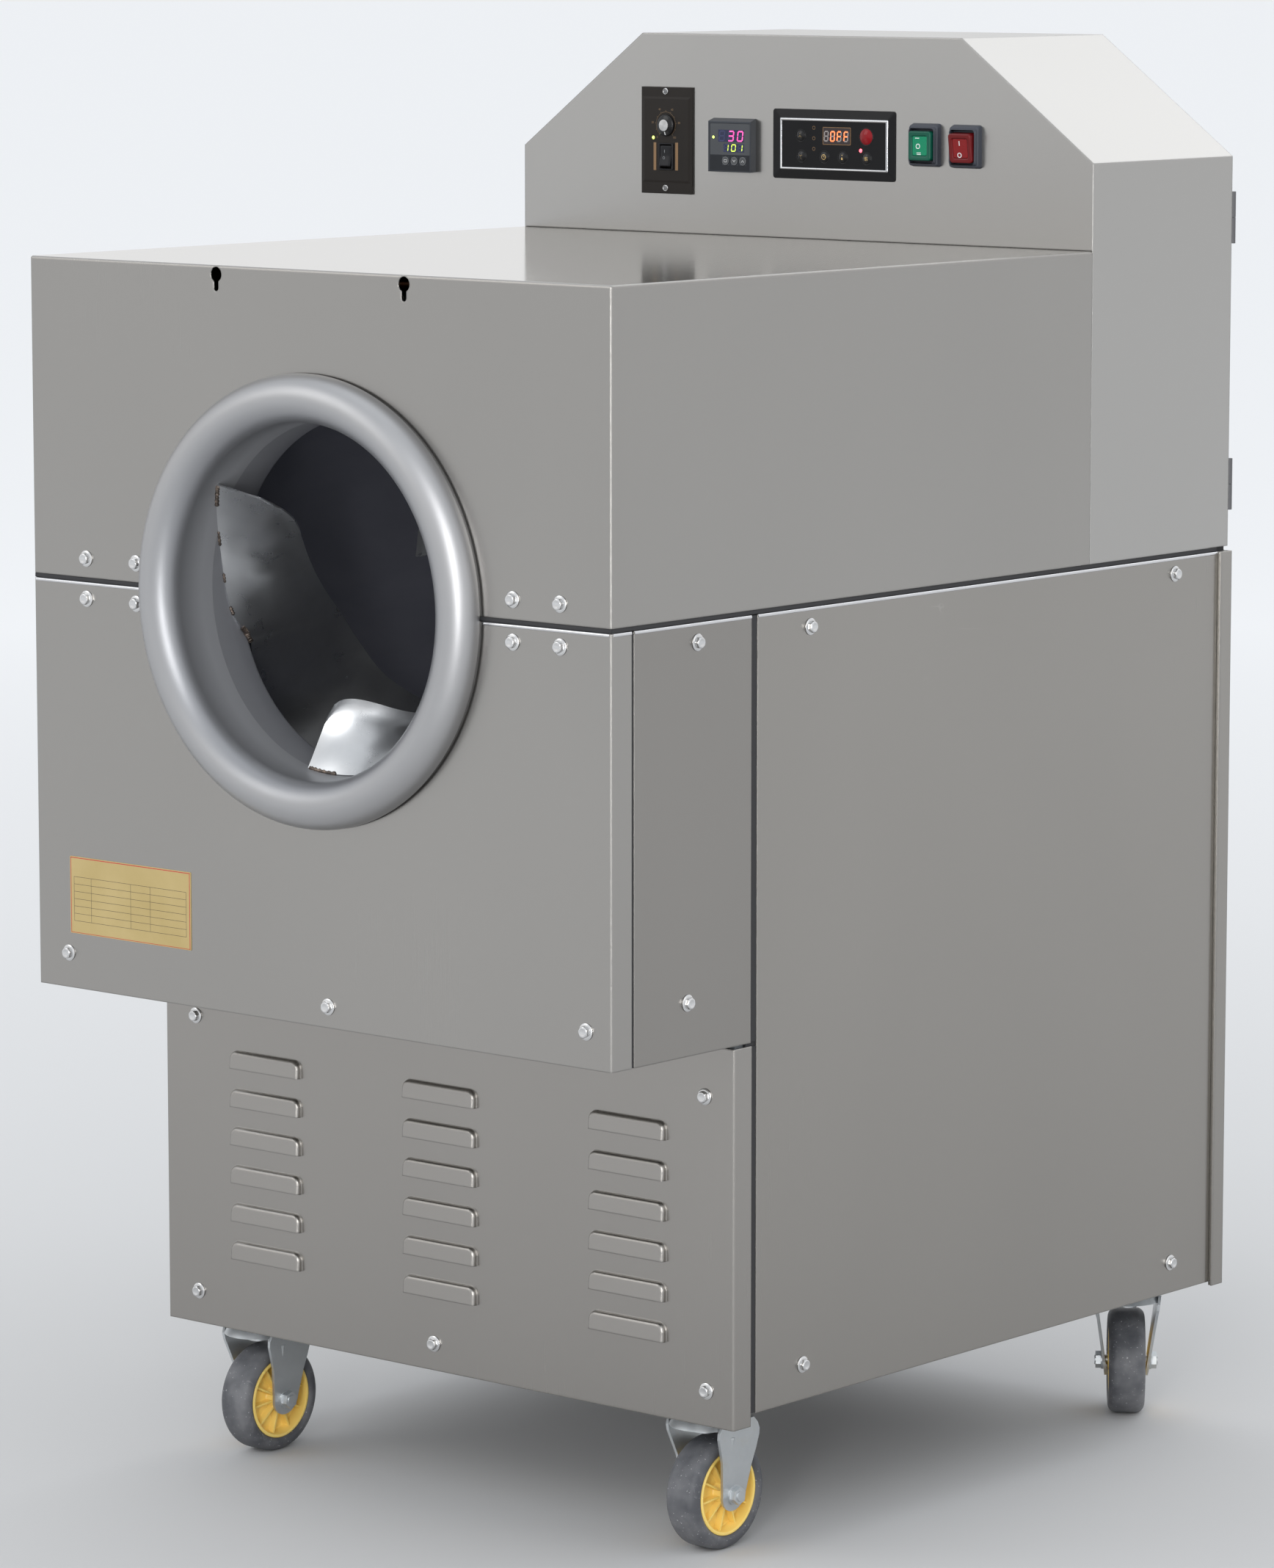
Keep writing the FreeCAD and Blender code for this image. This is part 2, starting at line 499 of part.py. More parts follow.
def vane(turn):
    nseg, nw = 28, 3
    grid = []
    tw, ti = [V_FRONT[turn][0]] + VW[1:], list(V_FRONT[turn][1:]) + VI[2:]
    for k in range(nseg + 1):
        u = (len(VW) - 1) * k / nseg
        a, b = hermite(tw, u), hermite(ti, u)
        a[1] = min(a[1], r_inside(a[2] - 2.5) - 1.4)
        pa = V(a[1] * math.cos(math.radians(a[0] + turn)), a[2], DZ + a[1] * math.sin(math.radians(a[0] + turn)))
        pb = V(b[1] * math.cos(math.radians(b[0] + turn)), b[2], DZ + b[1] * math.sin(math.radians(b[0] + turn)))
        row = []
        for j in range(nw + 1):
            row.append(pa + (pb - pa) * (j / nw))
        grid.append(row)
    nor = []
    for k in range(nseg + 1):
        row = []
        for j in range(nw + 1):
            dk = grid[min(k + 1, nseg)][j] - grid[max(k - 1, 0)][j]
            dj = grid[k][min(j + 1, nw)] - grid[k][max(j - 1, 0)]
            m = dk.cross(dj)
            m.normalize()
            row.append(m)
        nor.append(row)
    h = 1.0
    A = [[grid[k][j] + nor[k][j] * h for j in range(nw + 1)] for k in range(nseg + 1)]
    B = [[grid[k][j] - nor[k][j] * h for j in range(nw + 1)] for k in range(nseg + 1)]
    faces = []

    def tri(a, b, c):
        faces.append(Part.Face(Part.makePolygon([a, b, c, a])))

    def quad(a, b, c, d):
        tri(a, b, c)
        tri(a, c, d)
    for k in range(nseg):
        for j in range(nw):
            quad(A[k][j], A[k + 1][j], A[k + 1][j + 1], A[k][j + 1])
            quad(B[k][j], B[k][j + 1], B[k + 1][j + 1], B[k + 1][j])
        quad(A[k][0], B[k][0], B[k + 1][0], A[k + 1][0])
        quad(A[k][nw], A[k + 1][nw], B[k + 1][nw], B[k][nw])
    for j in range(nw):
        quad(A[0][j], A[0][j + 1], B[0][j + 1], B[0][j])
        quad(A[nseg][j], B[nseg][j], B[nseg][j + 1], A[nseg][j + 1])
    sh = Part.makeShell(faces)
    sh.sewShape()
    so = Part.makeSolid(sh if sh.ShapeType == "Shell" else sh.Shells[0])
    if so.Volume < 0:
        so.reverse()
    return so


save("drum_vanes", Part.makeCompound([vane(0), vane(120), vane(240)]))

shaft = fuse([cy(0, DZ, R_SHAFT, Y_BACK + 0.02, 668), cy(0, DZ, 70, Y_BACK + 0.02, Y_BACK + 10)])
save("drum_shaft", shaft)


def sprocket(xc, zc, n_, y0, y1, turn=0.0):
    rp_ = PITCH / (2 * math.sin(math.pi / n_))
    ro = rp_ + 4.6
    s = cy(xc, zc, ro, y0, y1)
    cut = []
    for i in range(n_):
        a = 2 * math.pi * (i + 0.5) / n_ + math.radians(turn)
        cut.append(cy(xc + rp_ * math.cos(a), zc + rp_ * math.sin(a), 5.25, y0 - 1, y1 + 1))
        # mouth of the seat
        q = [(-5.1, 0), (5.1, 0), (6.4, 7), (-6.4, 7)]
        ca, sa = math.cos(a), math.sin(a)
        pts = [(xc + (rp_ + v) * ca - u * sa, zc + (rp_ + v) * sa + u * ca) for u, v in q]
        cut.append(prism_xz(pts, y0 - 1, y1 + 1))
    return s.cut(Part.makeCompound(cut)), rp_


spr, RP_D = sprocket(0, DZ, N_DRUM, Y_SPR0, Y_SPR1)
spr = fuse([spr, cy(0, DZ, 36, 636, Y_SPR0 + 1)]).cut(cy(0, DZ, R_SHAFT, 600, 700))
light = [cy(60 * math.cos(math.radians(60 * i + 30)), DZ + 60 * math.sin(math.radians(60 * i + 30)), 15, 640, 670) for i in range(6)]
spr = spr.cut(Part.makeCompound(light))
save("drum_sprocket", spr)

mspr, RP_M = sprocket(0, Z_MOT, N_MOT, Y_SPR0, Y_SPR1)
mspr = fuse([mspr, cy(0, Z_MOT, 20, 636, Y_SPR0 + 1), cy(0, Z_MOT, 12.0, 606, 662)])
save("motor_sprocket", mspr)

# ---------------------------------------------------------------------------
# chain: two plate loops joined by pins on the free spans
# ---------------------------------------------------------------------------
def loop_face(r1, z1, r2, z2, y):
    """outline round two circles on the line x = 0 (r1 at z1 above r2 at z2)"""
    dd = z1 - z2
    be = math.asin((r1 - r2) / dd)
    cb, sb = math.cos(be), math.sin(be)
    a1, a2 = V(r1 * cb, y, z1 - r1 * sb), V(r2 * cb, y, z2 - r2 * sb)
    b1, b2 = V(-r1 * cb, y, z1 - r1 * sb), V(-r2 * cb, y, z2 - r2 * sb)
    e = [Part.Arc(a1, V(0, y, z1 + r1), b1).toShape(), Part.makeLine(b1, b2),
         Part.Arc(b2, V(0, y, z2 - r2), a2).toShape(), Part.makeLine(a2, a1)]
    return Part.Face(Part.Wire(e))


def band(y0, y1):
    o = loop_face(RP_D + 7, DZ, RP_M + 7, Z_MOT, y0).extrude(V(0, y1 - y0, 0))
    i = loop_face(RP_D - 7, DZ, RP_M - 7, Z_MOT, y0 - 1).extrude(V(0, y1 - y0 + 2, 0))
    return o.cut(i)


ch = [band(Y_SPR0 - 2.9, Y_SPR0 - 1.3), band(Y_SPR1 + 1.3, Y_SPR1 + 2.9)]
be = math.asin((RP_D - RP_M) / (DZ - Z_MOT))
for s in (-1, 1):
    p1 = (s * RP_D * math.cos(be), DZ - RP_D * math.sin(be))
    p2 = (s * RP_M * math.cos(be), Z_MOT - RP_M * math.sin(be))
    for k in range(5, 16):
        f = k / 20.0
        x, z = p1[0] + (p2[0] - p1[0]) * f, p1[1] + (p2[1] - p1[1]) * f
        ch.append(cy(x, z, 5.0, Y_SPR0 - 1.4, Y_SPR1 + 1.4))
save("drive_chain", fuse(ch))

# rear bearing on its beam
rb = fuse([box(-62, 62, 576, 612, 823.0, 836), box(-38, 38, 578, 610, 834, 880), cy(0, DZ, 46, 578, 610)])
rb = rb.cut(cy(0, DZ, R_SHAFT + 0.05, 560, 630))
save("rear_bearing", rb)

# gear motor
gm = [box(-55, 55, 562, 630, 486, 596), cy(0, Z_MOT, 48, 400, 563), cy(0, Z_MOT, 40, 388, 401),
      box(-62, 62, 484, 630, 464.0, 472), box(-40, 40, 500, 625, 470, 500), box(-28, 28, 440, 520, 578, 594),
      cy(0, Z_MOT, 30, 628, 633)]
fins = []
for k in range(10):
    yy = 415 + 14 * k
    fins.append(cy(0, Z_MOT, 53, yy, yy + 3))
gmo = fuse(gm + fins).cut(cy(0, Z_MOT, 12.06, 604, 640))
save("gear_motor", gmo)

# ---------------------------------------------------------------------------
# front support rollers under the throat
# ---------------------------------------------------------------------------
rr_c = R_THR + T_DR + GAP + R_ROLLER
RX, RZ = rr_c * math.cos(math.radians(60)), DZ - rr_c * math.sin(math.radians(60))
for s, nm in ((-1, "left"), (1, "right")):
    ro = cy(s * RX, RZ, R_ROLLER, 48.5, 71.5).cut(cy(s * RX, RZ, 6.05, 40, 80))
    ro = ro.cut(revolve_y([(14.0, 47.0), ('l', (14.0, 50.5)), ('l', (9.0, 50.5)), ('l', (9.0, 47.0))], s * RX, RZ))
    save("front_roller_%s" % nm, ro)
br = []
for s in (-1, 1):
    x = s * RX
    parts_ = [box(x - 15, x + 15, 50.5, 69.5, 500.1, RZ - 30), box(x - 16, x + 16, 42, 78, RZ - 33, RZ - 27)]
    for (ya, yb) in ((42.0, 46.0), (74.0, 78.0)):
        parts_ += [box(x - 12, x + 12, ya, yb, RZ - 30, RZ), cy(x, RZ, 12, ya, yb)]
    parts_.append(cy(x, RZ, 6.0, 42, 78))
    b_ = fuse(parts_)
    br.append(b_)
save("roller_brackets", Part.makeCompound(br))

# ---------------------------------------------------------------------------
# insulation jacket, induction coil, power module
# ---------------------------------------------------------------------------
jk = cy(0, DZ, 278, 128, 512).cut(cy(0, DZ, 253.5, 100, 530))
save("insulation_jacket", jk)
co = []
for k in range(13):
    co.append(Part.makeTorus(284.5, 4.5, V(0, 146 + 28.5 * k, DZ), V(0, 1, 0)))
for a in (0, 62, 118, 180, 242, 298):
    b_ = box(279, 291, 134, 500, DZ - 9, DZ + 9)
    b_.rotate(V(0, 0, DZ), V(0, 1, 0), a)
    co.append(b_)
for s in (-1, 1):
    for y in (200, 430):
        co.append(box(s * 283, s * 354.8, y, y + 30, 861, 876.9))
save("induction_coil", fuse(co))
pm = box(-150, 150, 270, 610, 190.1, 330)
pm = pm.cut(Part.makeCompound([box(-140 + 20 * k, -128 + 20 * k, 260, 620, 312, 340) for k in range(14)]))
save("power_module", pm)

# cooling fan
ff = box(FAN_X - 60, FAN_X + 60, 903.5, 941.6, FAN_Z - 60, FAN_Z + 60).cut(cy(FAN_X, FAN_Z, 57, 890, 950))
st = [cy(FAN_X, FAN_Z, 20, 903.5, 907.0), cy(FAN_X, FAN_Z, 3.0, 905, 932.4)]
for a in (45, 135, 225, 315):
    b_ = box(18, 62, 903.5, 907.0, -3, 3)
    b_.rotate(V(0, 0, 0), V(0, 1, 0), a)
    b_.translate(V(FAN_X, 0, FAN_Z))
    st.append(b_)
for dx in (-52.5, 52.5):
    for dz in (-52.5, 52.5):
        ff = ff.cut(cy(FAN_X + dx, FAN_Z + dz, 2.2, 890, 950))
save("fan_frame", fuse([ff] + st))
fb = [cy(0, 0, 21, 908.5, 935)]
for k in range(7):
    bl = box(17, 52.5, -13, 13, -0.9, 0.9)
    bl.rotate(V(0, 0, 0), V(1, 0, 0), 38)
    bl.translate(V(0, 921.5, 0))
    bl.rotate(V(0, 0, 0), V(0, 1, 0), 360.0 / 7 * k)
    fb.append(bl)
fan = fuse(fb).cut(cy(0, 0, 3.05, 900, 933)).common(cy(0, 0, 54.5, 908, 938))
fan.translate(V(FAN_X, 0, FAN_Z))
save("fan_rotor", fan)

# cable gland, through bore for the mains lead
gl = fuse([hexagon(GL_X, GL_Z, 24, Y_RP, Y_RP + 6), cy(GL_X, GL_Z, 8.0, Y_RP - 9, Y_RP),
           hexagon(GL_X, GL_Z, 22, Y_RP - 9, Y_RP - T),
           Part.makeCone(11.0, 8.0, 16.8, V(GL_X, Y_RP + 6, GL_Z), V(0, 1, 0))])
gl = gl.cut(cy(GL_X, GL_Z, 5.0, Y_RP - 20, Y_RP + 40))
save("cable_gland", gl)

# ---------------------------------------------------------------------------
# rear door, hinges and latch
# ---------------------------------------------------------------------------
D0, D1 = Y_TOWR + 0.4, Y_TOWR + 2.2
dpts = outline(1.0, Z_UP0 + 1.5)
door = prism_xz(dpts, D0, D1)
door = door.cut(box(PX - 6.0, 400, D0 - 5, D1 + 5, 800, 1400))
# pressed stiffening fold round the edge, inside the return flange
fo = prism_xz(outline(18.0, Z_UP0 + 18.0), D0 - 8.0, D0)
fi = prism_xz(outline(19.5, Z_UP0 + 19.5), D0 - 9.0, D0 + 0.1)
fo = fo.cut(fi).cut(box(332, 400, 900, 960, 800, 1400))
LX, LZ = -330.0, 1090.0
fo = fo.cut(box(-350, -300, 900, 960, LZ - 30, LZ + 45))
door = fuse([door, fo]).cut(cy(LX, LZ, 8.06, 900, 960))
save("rear_door", door)
fixed, moving = [], []
for (za, zb) in HINGES:
    zm = za + 25.4
    kn = cz(PX, PY, PR, za, zm).cut(cz(PX, PY, 1.9, za - 1, zm + 1))
    leaf = box(HW - T - 1.6, HW - T - 0.05, 918, PY, za, zm)
    pin = cz(PX, PY, 1.9, za, zb)
    fixed.append(fuse([kn.fuse(leaf).cut(cz(PX, PY, 1.9, za - 1, zb + 1)), pin]))
    kn2 = cz(PX, PY, PR, zm + 0.3, zb)
    leaf2 = box(330, PX, D1, D1 + 1.5, zm + 0.3, zb)
    moving.append(fuse([kn2, leaf2]).cut(cz(PX, PY, 1.96, za - 1, zb + 1)))
save("hinge_fixed_leaves", Part.makeCompound(fixed))
save("hinge_door_leaves", Part.makeCompound(moving))
lt = fuse([cy(LX, LZ, 8.0, D0 - 6, D1), Part.makeCone(12.0, 10.5, 4.0, V(LX, D1 + 0.15, LZ), V(0, 1, 0)),
           cy(LX, LZ, 8.0, D1 - 0.5, D1 + 1), box(LX - 6, LX + 6, D0 - 7.8, D0 - 5.8, LZ - 7, LZ + 26)])
lt = lt.cut(box(LX - 1.2, LX + 1.2, D1 + 2.6, D1 + 10, LZ - 7.5, LZ + 7.5))
save("door_latch", lt)

# ---------------------------------------------------------------------------
# controls
# ---------------------------------------------------------------------------
def bevel_front(b, r, ymin):
    ed = [e for e in b.Edges if e.BoundBox.YMax < ymin + 0.01]
    return b.makeChamfer(r, ed)


def frustum(a, ya, b, yb):
    """block between the rectangle a = (x0, x1, z0, z1) at y = ya and the rectangle b at y = yb"""
    def wire(q, y):
        return Part.makePolygon([V(q[0], y, q[2]), V(q[1], y, q[2]), V(q[1], y, q[3]), V(q[0], y, q[3]), V(q[0], y, q[2])])
    return Part.makeLoft([wire(a, ya), wire(b, yb)], True, True)


def rrect_wire(x0, x1, z0, z1, y, r):
    k = r * (1.0 - math.sqrt(0.5))
    return Part.Wire([
        Part.makeLine(V(x0 + r, y, z0), V(x1 - r, y, z0)),
        Part.Arc(V(x1 - r, y, z0), V(x1 - k, y, z0 + k), V(x1, y, z0 + r)).toShape(),
        Part.makeLine(V(x1, y, z0 + r), V(x1, y, z1 - r)),
        Part.Arc(V(x1, y, z1 - r), V(x1 - k, y, z1 - k), V(x1 - r, y, z1)).toShape(),
        Part.makeLine(V(x1 - r, y, z1), V(x0 + r, y, z1)),
        Part.Arc(V(x0 + r, y, z1), V(x0 + k, y, z1 - k), V(x0, y, z1 - r)).toShape(),
        Part.makeLine(V(x0, y, z1 - r), V(x0, y, z0 + r)),
        Part.Arc(V(x0, y, z0 + r), V(x0 + k, y, z0 + k), V(x0 + r, y, z0)).toShape()])


spc = bevel_front(box(SP['x0'], SP['x1'], Y_TOW - 2.8, Y_TOW, SP['z0'], SP['z1']), 0.6, Y_TOW - 2.8)
rais = frustum((-201.0, -137.7, 1242.5, 1329.1), Y_TOW - 2.79, (-198.05, -140.65, 1244.8, 1326.8), Y_TOW - 3.4)
spc = fuse([spc, rais, box(-195, -145, Y_TOW - 0.1, Y_TOW + 55, 1243, 1328)])
KX, KZ = -169.2, 1300.4
spc = spc.cut(cy(KX, KZ, 3.08, Y_TOW - 10, Y_TOW + 8))
RKX, RKZ, RKY = -169.1, 1269.0, Y_TOW + 1.0       # speed rocker: pivot
spc = spc.cut(box(RKX - 7.6, RKX + 7.6, Y_TOW - 10, Y_TOW + 8, RKZ - 12.3, RKZ + 12.3))
spc = spc.cut(cx(RKY, RKZ, 1.56, RKX - 9.1, RKX + 9.1))
for z in SCZ:
    spc = spc.cut(cy(SCX, z, 1.95, Y_TOW - 10, Y_TOW + 10))
save("speed_controller", spc)
kn = [revolve_y([(0, Y_TOW - 3.7), ('l', (11.0, Y_TOW - 3.7)), ('l', (10.8, Y_TOW - 5.4)), ('l', (9.9, Y_TOW - 6.3)),
                 ('l', (6.3, Y_TOW - 7.3)), ('l', (5.9, Y_TOW - 8.3)), ('l', (0, Y_TOW - 8.3))], KX, KZ),
      cy(KX, KZ, 3.0, Y_TOW - 4.0, Y_TOW + 7.5)]
save("speed_knob", fuse(kn))


def rocker(xc, yc, zc, hw, hz_face, depth_front, tilt, back=4.5, pin=2.0):
    """rocker: face in front of the pivot by depth_front, turned by tilt degrees about X (top outwards positive)"""
    yf = yc - depth_front
    pts = [(yc + back, zc - hz_face * 0.45), (yf + 2.6, zc - hz_face), (yf, zc - hz_face + 0.8), (yf + 1.1, zc),
           (yf, zc + hz_face - 0.8), (yf + 2.6, zc + hz_face), (yc + back, zc + hz_face * 0.45)]
    r = prism_yz(pts, xc - hw, xc + hw)
    r = r.fuse(cx(yc, zc, pin, xc - hw - 1.5, xc + hw + 1.5)).removeSplitter()
    r.rotate(V(xc, yc, zc), V(1, 0, 0), tilt)
    return r


save("speed_rocker", rocker(RKX, RKY, RKZ, 7.3, 10.6, 7.0, -6.0, pin=1.5))

tcc = frustum((-109.4, -54.8, 1256.2, 1309.3), Y_TOW, (-109.8, -54.4, 1255.8, 1306.2), Y_TOW - 9.0)
tcc = bevel_front(tcc, 0.5, Y_TOW - 9.0)
tcc = tcc.cut(box(-107.3, -55.5, Y_TOW - 15, Y_TOW - 8.4, 1272.6, 1304.3))
tcc = fuse([tcc, box(-103.7, -58.7, Y_TOW - 0.1, Y_TOW + 65, 1258.2, 1303.2)])
TB = (("set", -86.6), ("down", -75.3), ("up", -64.2))
TBZ = 1267.0
for nm, x in TB:
    tcc = tcc.cut(cy(x, TBZ, 4.65, Y_TOW - 15, Y_TOW - 3.6))
save("temperature_controller", tcc)
for nm, x in TB:
    bb = cy(x, TBZ, 4.35, Y_TOW - 9.6, Y_TOW - 4.6)
    bb = bb.makeChamfer(0.3, [e for e in bb.Edges if e.BoundBox.YMax < Y_TOW - 9.5])
    save("temp_button_%s" % nm, bb)

pcc = fuse([Part.Face(rrect_wire(*PC, Y_TOW, 3.0)).extrude(V(0, -0.8, 0)),
            Part.makeLoft([rrect_wire(*PC, Y_TOW - 0.79, 3.0), rrect_wire(-21.7, 115.0, 1260.45, 1311.6, Y_TOW - 2.4, 1.5)], True, True),
            box(-20, 112, Y_TOW - 0.1, Y_TOW + 30, 1258, 1313.5)])
pcc = pcc.cut(box(-19.3, 111.9, Y_TOW - 10, Y_TOW - 1.9, 1262.6, 1308.9))
PB = (("power_button_raise", 4.5, 1294.2, 5.4), ("power_button_lower", 5.6, 1273.8, 5.4), ("power_button_timer", 34.6, 1273.7, 5.4),
      ("power_button_mode", 57.9, 1273.8, 5.4), ("power_button_heat", 88.0, 1273.25, 5.4), ("power_button_start", 87.2, 1294.8, 7.9))
for nm, x, z, r in PB:
    pcc = pcc.cut(cy(x, z, r + 0.3, Y_TOW - 10, Y_TOW + 4.2))
save("power_controller", pcc)
for nm, x, z, r in PB:
    # domed head
    hgt = 1.5 if r < 6 else 2.0
    Rs = (r * r + hgt * hgt) / (2 * hgt)
    yb = Y_TOW - 2.1
    prof = revolve_y([(0, yb - hgt), ('a', (Rs * math.sin(math.asin(r / Rs) / 2), yb - hgt + Rs - Rs * math.cos(math.asin(r / Rs) / 2)), (r, yb)),
                      ('l', (r, Y_TOW + 2.5)), ('l', (0, Y_TOW + 2.5))], x, z)
    save(nm, prof)

bts = []
for (sx, sz) in SW:
    b0 = frustum((sx - 18.2, sx + 18.2, sz - 20.6, sz + 21.7), Y_TOW, (sx - 17.6, sx + 17.6, sz - 19.3, sz + 19.3), Y_TOW - 6.0)
    b0 = bevel_front(b0, 0.8, Y_TOW - 6.0)
    b1 = box(sx - 16.6, sx + 16.6, Y_TOW - 9.0, Y_TOW - 5.9, sz - 17.6, sz + 17.6)
    b1 = b1.makeFillet(3.0, [e for e in b1.Edges if e.BoundBox.YLength > 3.0])
    b2 = box(sx - 11, sx + 11, Y_TOW - 0.1, Y_TOW + 24, sz - 14, sz + 14)
    bt = fuse([b0, b1, b2]).cut(box(sx - 14.6, sx + 14.6, Y_TOW - 20, Y_TOW - 1.6, sz - 16.4, sz + 16.4))
    bt = bt.cut(cx(Y_TOW - 5.0, sz, 2.06, sx - 16.1, sx + 16.1))
    bts.append(bt)
save("switch_boots", Part.makeCompound(bts))
RY = Y_TOW - 5.0
save("mode_rocker", rocker(SW[0][0], RY, SW[0][1], 14.0, 14.4, 7.4, 0.0, back=2.2))
save("power_rocker", rocker(SW[1][0], RY, SW[1][1], 14.0, 14.4, 7.4, 8.0, back=2.2))

# ---------------------------------------------------------------------------
# casters
# ---------------------------------------------------------------------------
plates = []
for nm, (x, y, a, e) in CASTERS.items():
    p = box(x - 38, x + 38, y - 40, y + 40, 143, Z_FRAME - 0.02)
    p = p.makeFillet(6, [q for q in p.Edges if q.BoundBox.ZLength > 3.9])
    for dx in (-28, 28):
        for dy in (-29, 29):
            p = p.cut(cz(x + dx, y + dy, 4.3, 130, 150))
    race = Part.makeCone(27.0, 22.0, 11.0, V(x, y, 132.1), V(0, 0, 1))
    p = fuse([p, race, cz(x, y, 14, 128.4, 133), cz(x, y, 6.0, 113.5, 133), cz(x, y, 10.0, 113.0, 119.8)])
    plates.append(p)


def plate_bolts(x, y):
    """four bolts of one caster plate, each with its nut"""
    out = []
    for dx in (-28, 28):
        for dy in (-29, 29):
            r = 13.0 / math.sqrt(3)
            f1 = Part.Face(Part.makePolygon([V(x + dx + r * math.cos(math.radians(60 * i + 11)), y + dy + r * math.sin(math.radians(60 * i + 11)), 137.6) for i in range(7)]))
            f2 = f1.copy()
            f2.translate(V(0, 0, 150.02 - 137.6))
            out.append(fuse([f1.extrude(V(0, 0, 5.38)), cz(x + dx, y + dy, 4.0, 142.0, 159.0), f2.extrude(V(0, 0, 6.4))]))
    return out


for nm, (x, y, a, e) in CASTERS.items():
    plates += plate_bolts(x, y)
save("caster_plates", Part.makeCompound(plates))


def caster_fork(x, y, a, e):
    legs = []
    for s in (-1, 1):
        dr, rl, tt = e - 14.0, 16.6, 3.0
        fw = [V(0, -14, 127), V(0, -18, 118), V(0, -17.5, 112), V(0, -8.5, 87), V(0, e - rl, 53.5)]
        bw = [V(0, e + rl, 53.5), V(0, 35 + dr, 81), V(0, 38.7 + dr, 95), V(0, 41 + dr, 108), V(0, 40.6 + dr, 114),
              V(0, 36.5 + dr, 121), V(0, 30 + dr, 127), V(0, -14, 127)]
        edges = [Part.makeLine(fw[i], fw[i + 1]) for i in range(4)] + [Part.Arc(fw[4], V(0, e, 53.5 - rl), bw[0]).toShape()]
        edges += [Part.makeLine(bw[i], bw[i + 1]) for i in range(7)]
        leg = Part.Face(Part.Wire(edges)).extrude(V(tt, 0, 0))
        leg.translate(V(30.0, 0, 0))
        leg.rotate(V(33, 0, 118), V(0, 1, 0), 7.94)
        if s < 0:
            leg = leg.mirror(V(0, 0, 0), V(1, 0, 0))
        legs.append(leg)
    crown = Part.makeCone(34.0, 30.0, 7.8, V(0, 0, 120.2), V(0, 0, 1))
    f = fuse([crown] + legs)
    f = f.cut(cz(0, 0, 6.06, 100, 140)).cut(cz(0, 0, 10.5, 100, 119.9)).cut(cx(e, 53.5, 5.0, -60, 60))
    f = f.cut(Part.makeCone(26.0, 20.0, 3.0, V(0, 0, 120.1), V(0, 0, 1)).cut(cz(0, 0, 12.0, 100, 140)))
    r = 15.0 / math.sqrt(3)
    ax = [cx(e, 53.5, 5.0, -32.0, 32.0), cx(e, 53.5, 9.6, 23.0, 25.6), cx(e, 53.5, 9.6, -25.6, -23.0)]
    for s in (-1, 1):
        pts = [(e + r * math.cos(math.radians(60 * i + 20)), 53.5 + r * math.sin(math.radians(60 * i + 20))) for i in range(6)]
        hx = prism_yz(pts, 25.5, 31.0)
        if s < 0:
            hx = hx.mirror(V(0, 0, 0), V(1, 0, 0))
        ax.append(hx)
    axle = fuse(ax).cut(f)
    axle = axle.Solids[0] if len(axle.Solids) == 1 else max(axle.Solids, key=lambda q: q.Volume)
    out = Part.makeCompound(f.Solids + [axle])
    out.rotate(V(0, 0, 0), V(0, 0, 1), a)
    out.translate(V(x, y, 0))
    return out


def caster_wheel(x, y, a, e):
    hb = revolve_y([(5.06, -18.8), ('l', (10.5, -18.8)), ('l', (12.0, -8.0)), ('l', (34.0, -3.0)), ('l', (36.8, -16.5)),
                    ('l', (40.0, -16.5)), ('l', (40.0, 16.5)), ('l', (36.8, 16.5)), ('l', (34.0, 3.0)), ('l', (12.0, 8.0)),
                    ('l', (10.5, 18.8)), ('l', (5.06, 18.8))])
    ribs = []
    for k in range(10):
        rb_ = box(10.0, 37.5, -13.5, 13.5, -1.1, 1.1)
        rb_.rotate(V(0, 0, 0), V(0, 1, 0), 36 * k)
        ribs.append(rb_)
    hb = fuse([hb] + ribs)
    rq = 8.5
    w2 = 18.65
    ty = revolve_y([(40.0, -16.5), ('l', (41.5, -17.6)), ('l', (45.5, -w2)),
                    ('a', (R_WHEEL - rq + rq * math.sin(math.radians(45)), -w2 + rq - rq * math.cos(math.radians(45))), (R_WHEEL, -w2 + rq)),
                    ('l', (R_WHEEL, w2 - rq)),
                    ('a', (R_WHEEL - rq + rq * math.sin(math.radians(45)), w2 - rq + rq * math.cos(math.radians(45))), (45.5, w2)),
                    ('l', (41.5, 17.6)), ('l', (40.0, 16.5))])
    out = Part.makeCompound([hb, ty])
    # wheel axis from Y to X
    out.rotate(V(0, 0, 0), V(0, 0, 1), -90)
    out.translate(V(0, e, R_WHEEL))
    out.rotate(V(0, 0, 0), V(0, 0, 1), a)
    out.translate(V(x, y, 0))
    return out


for nm, (x, y, a, e) in CASTERS.items():
    save("caster_fork_%s" % nm, caster_fork(x, y, a, e))
    save("caster_wheel_%s" % nm, caster_wheel(x, y, a, e))

print("nodes", len(saved))
print("drum/motor ratio", N_DRUM / N_MOT, "roller", -(R_THR + T_DR) / R_ROLLER, "pitch radii", RP_D, RP_M)
print("roller centre", RX, RZ)
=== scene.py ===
import bpy
import bmesh
import math
import random
from mathutils import Vector, Matrix, noise


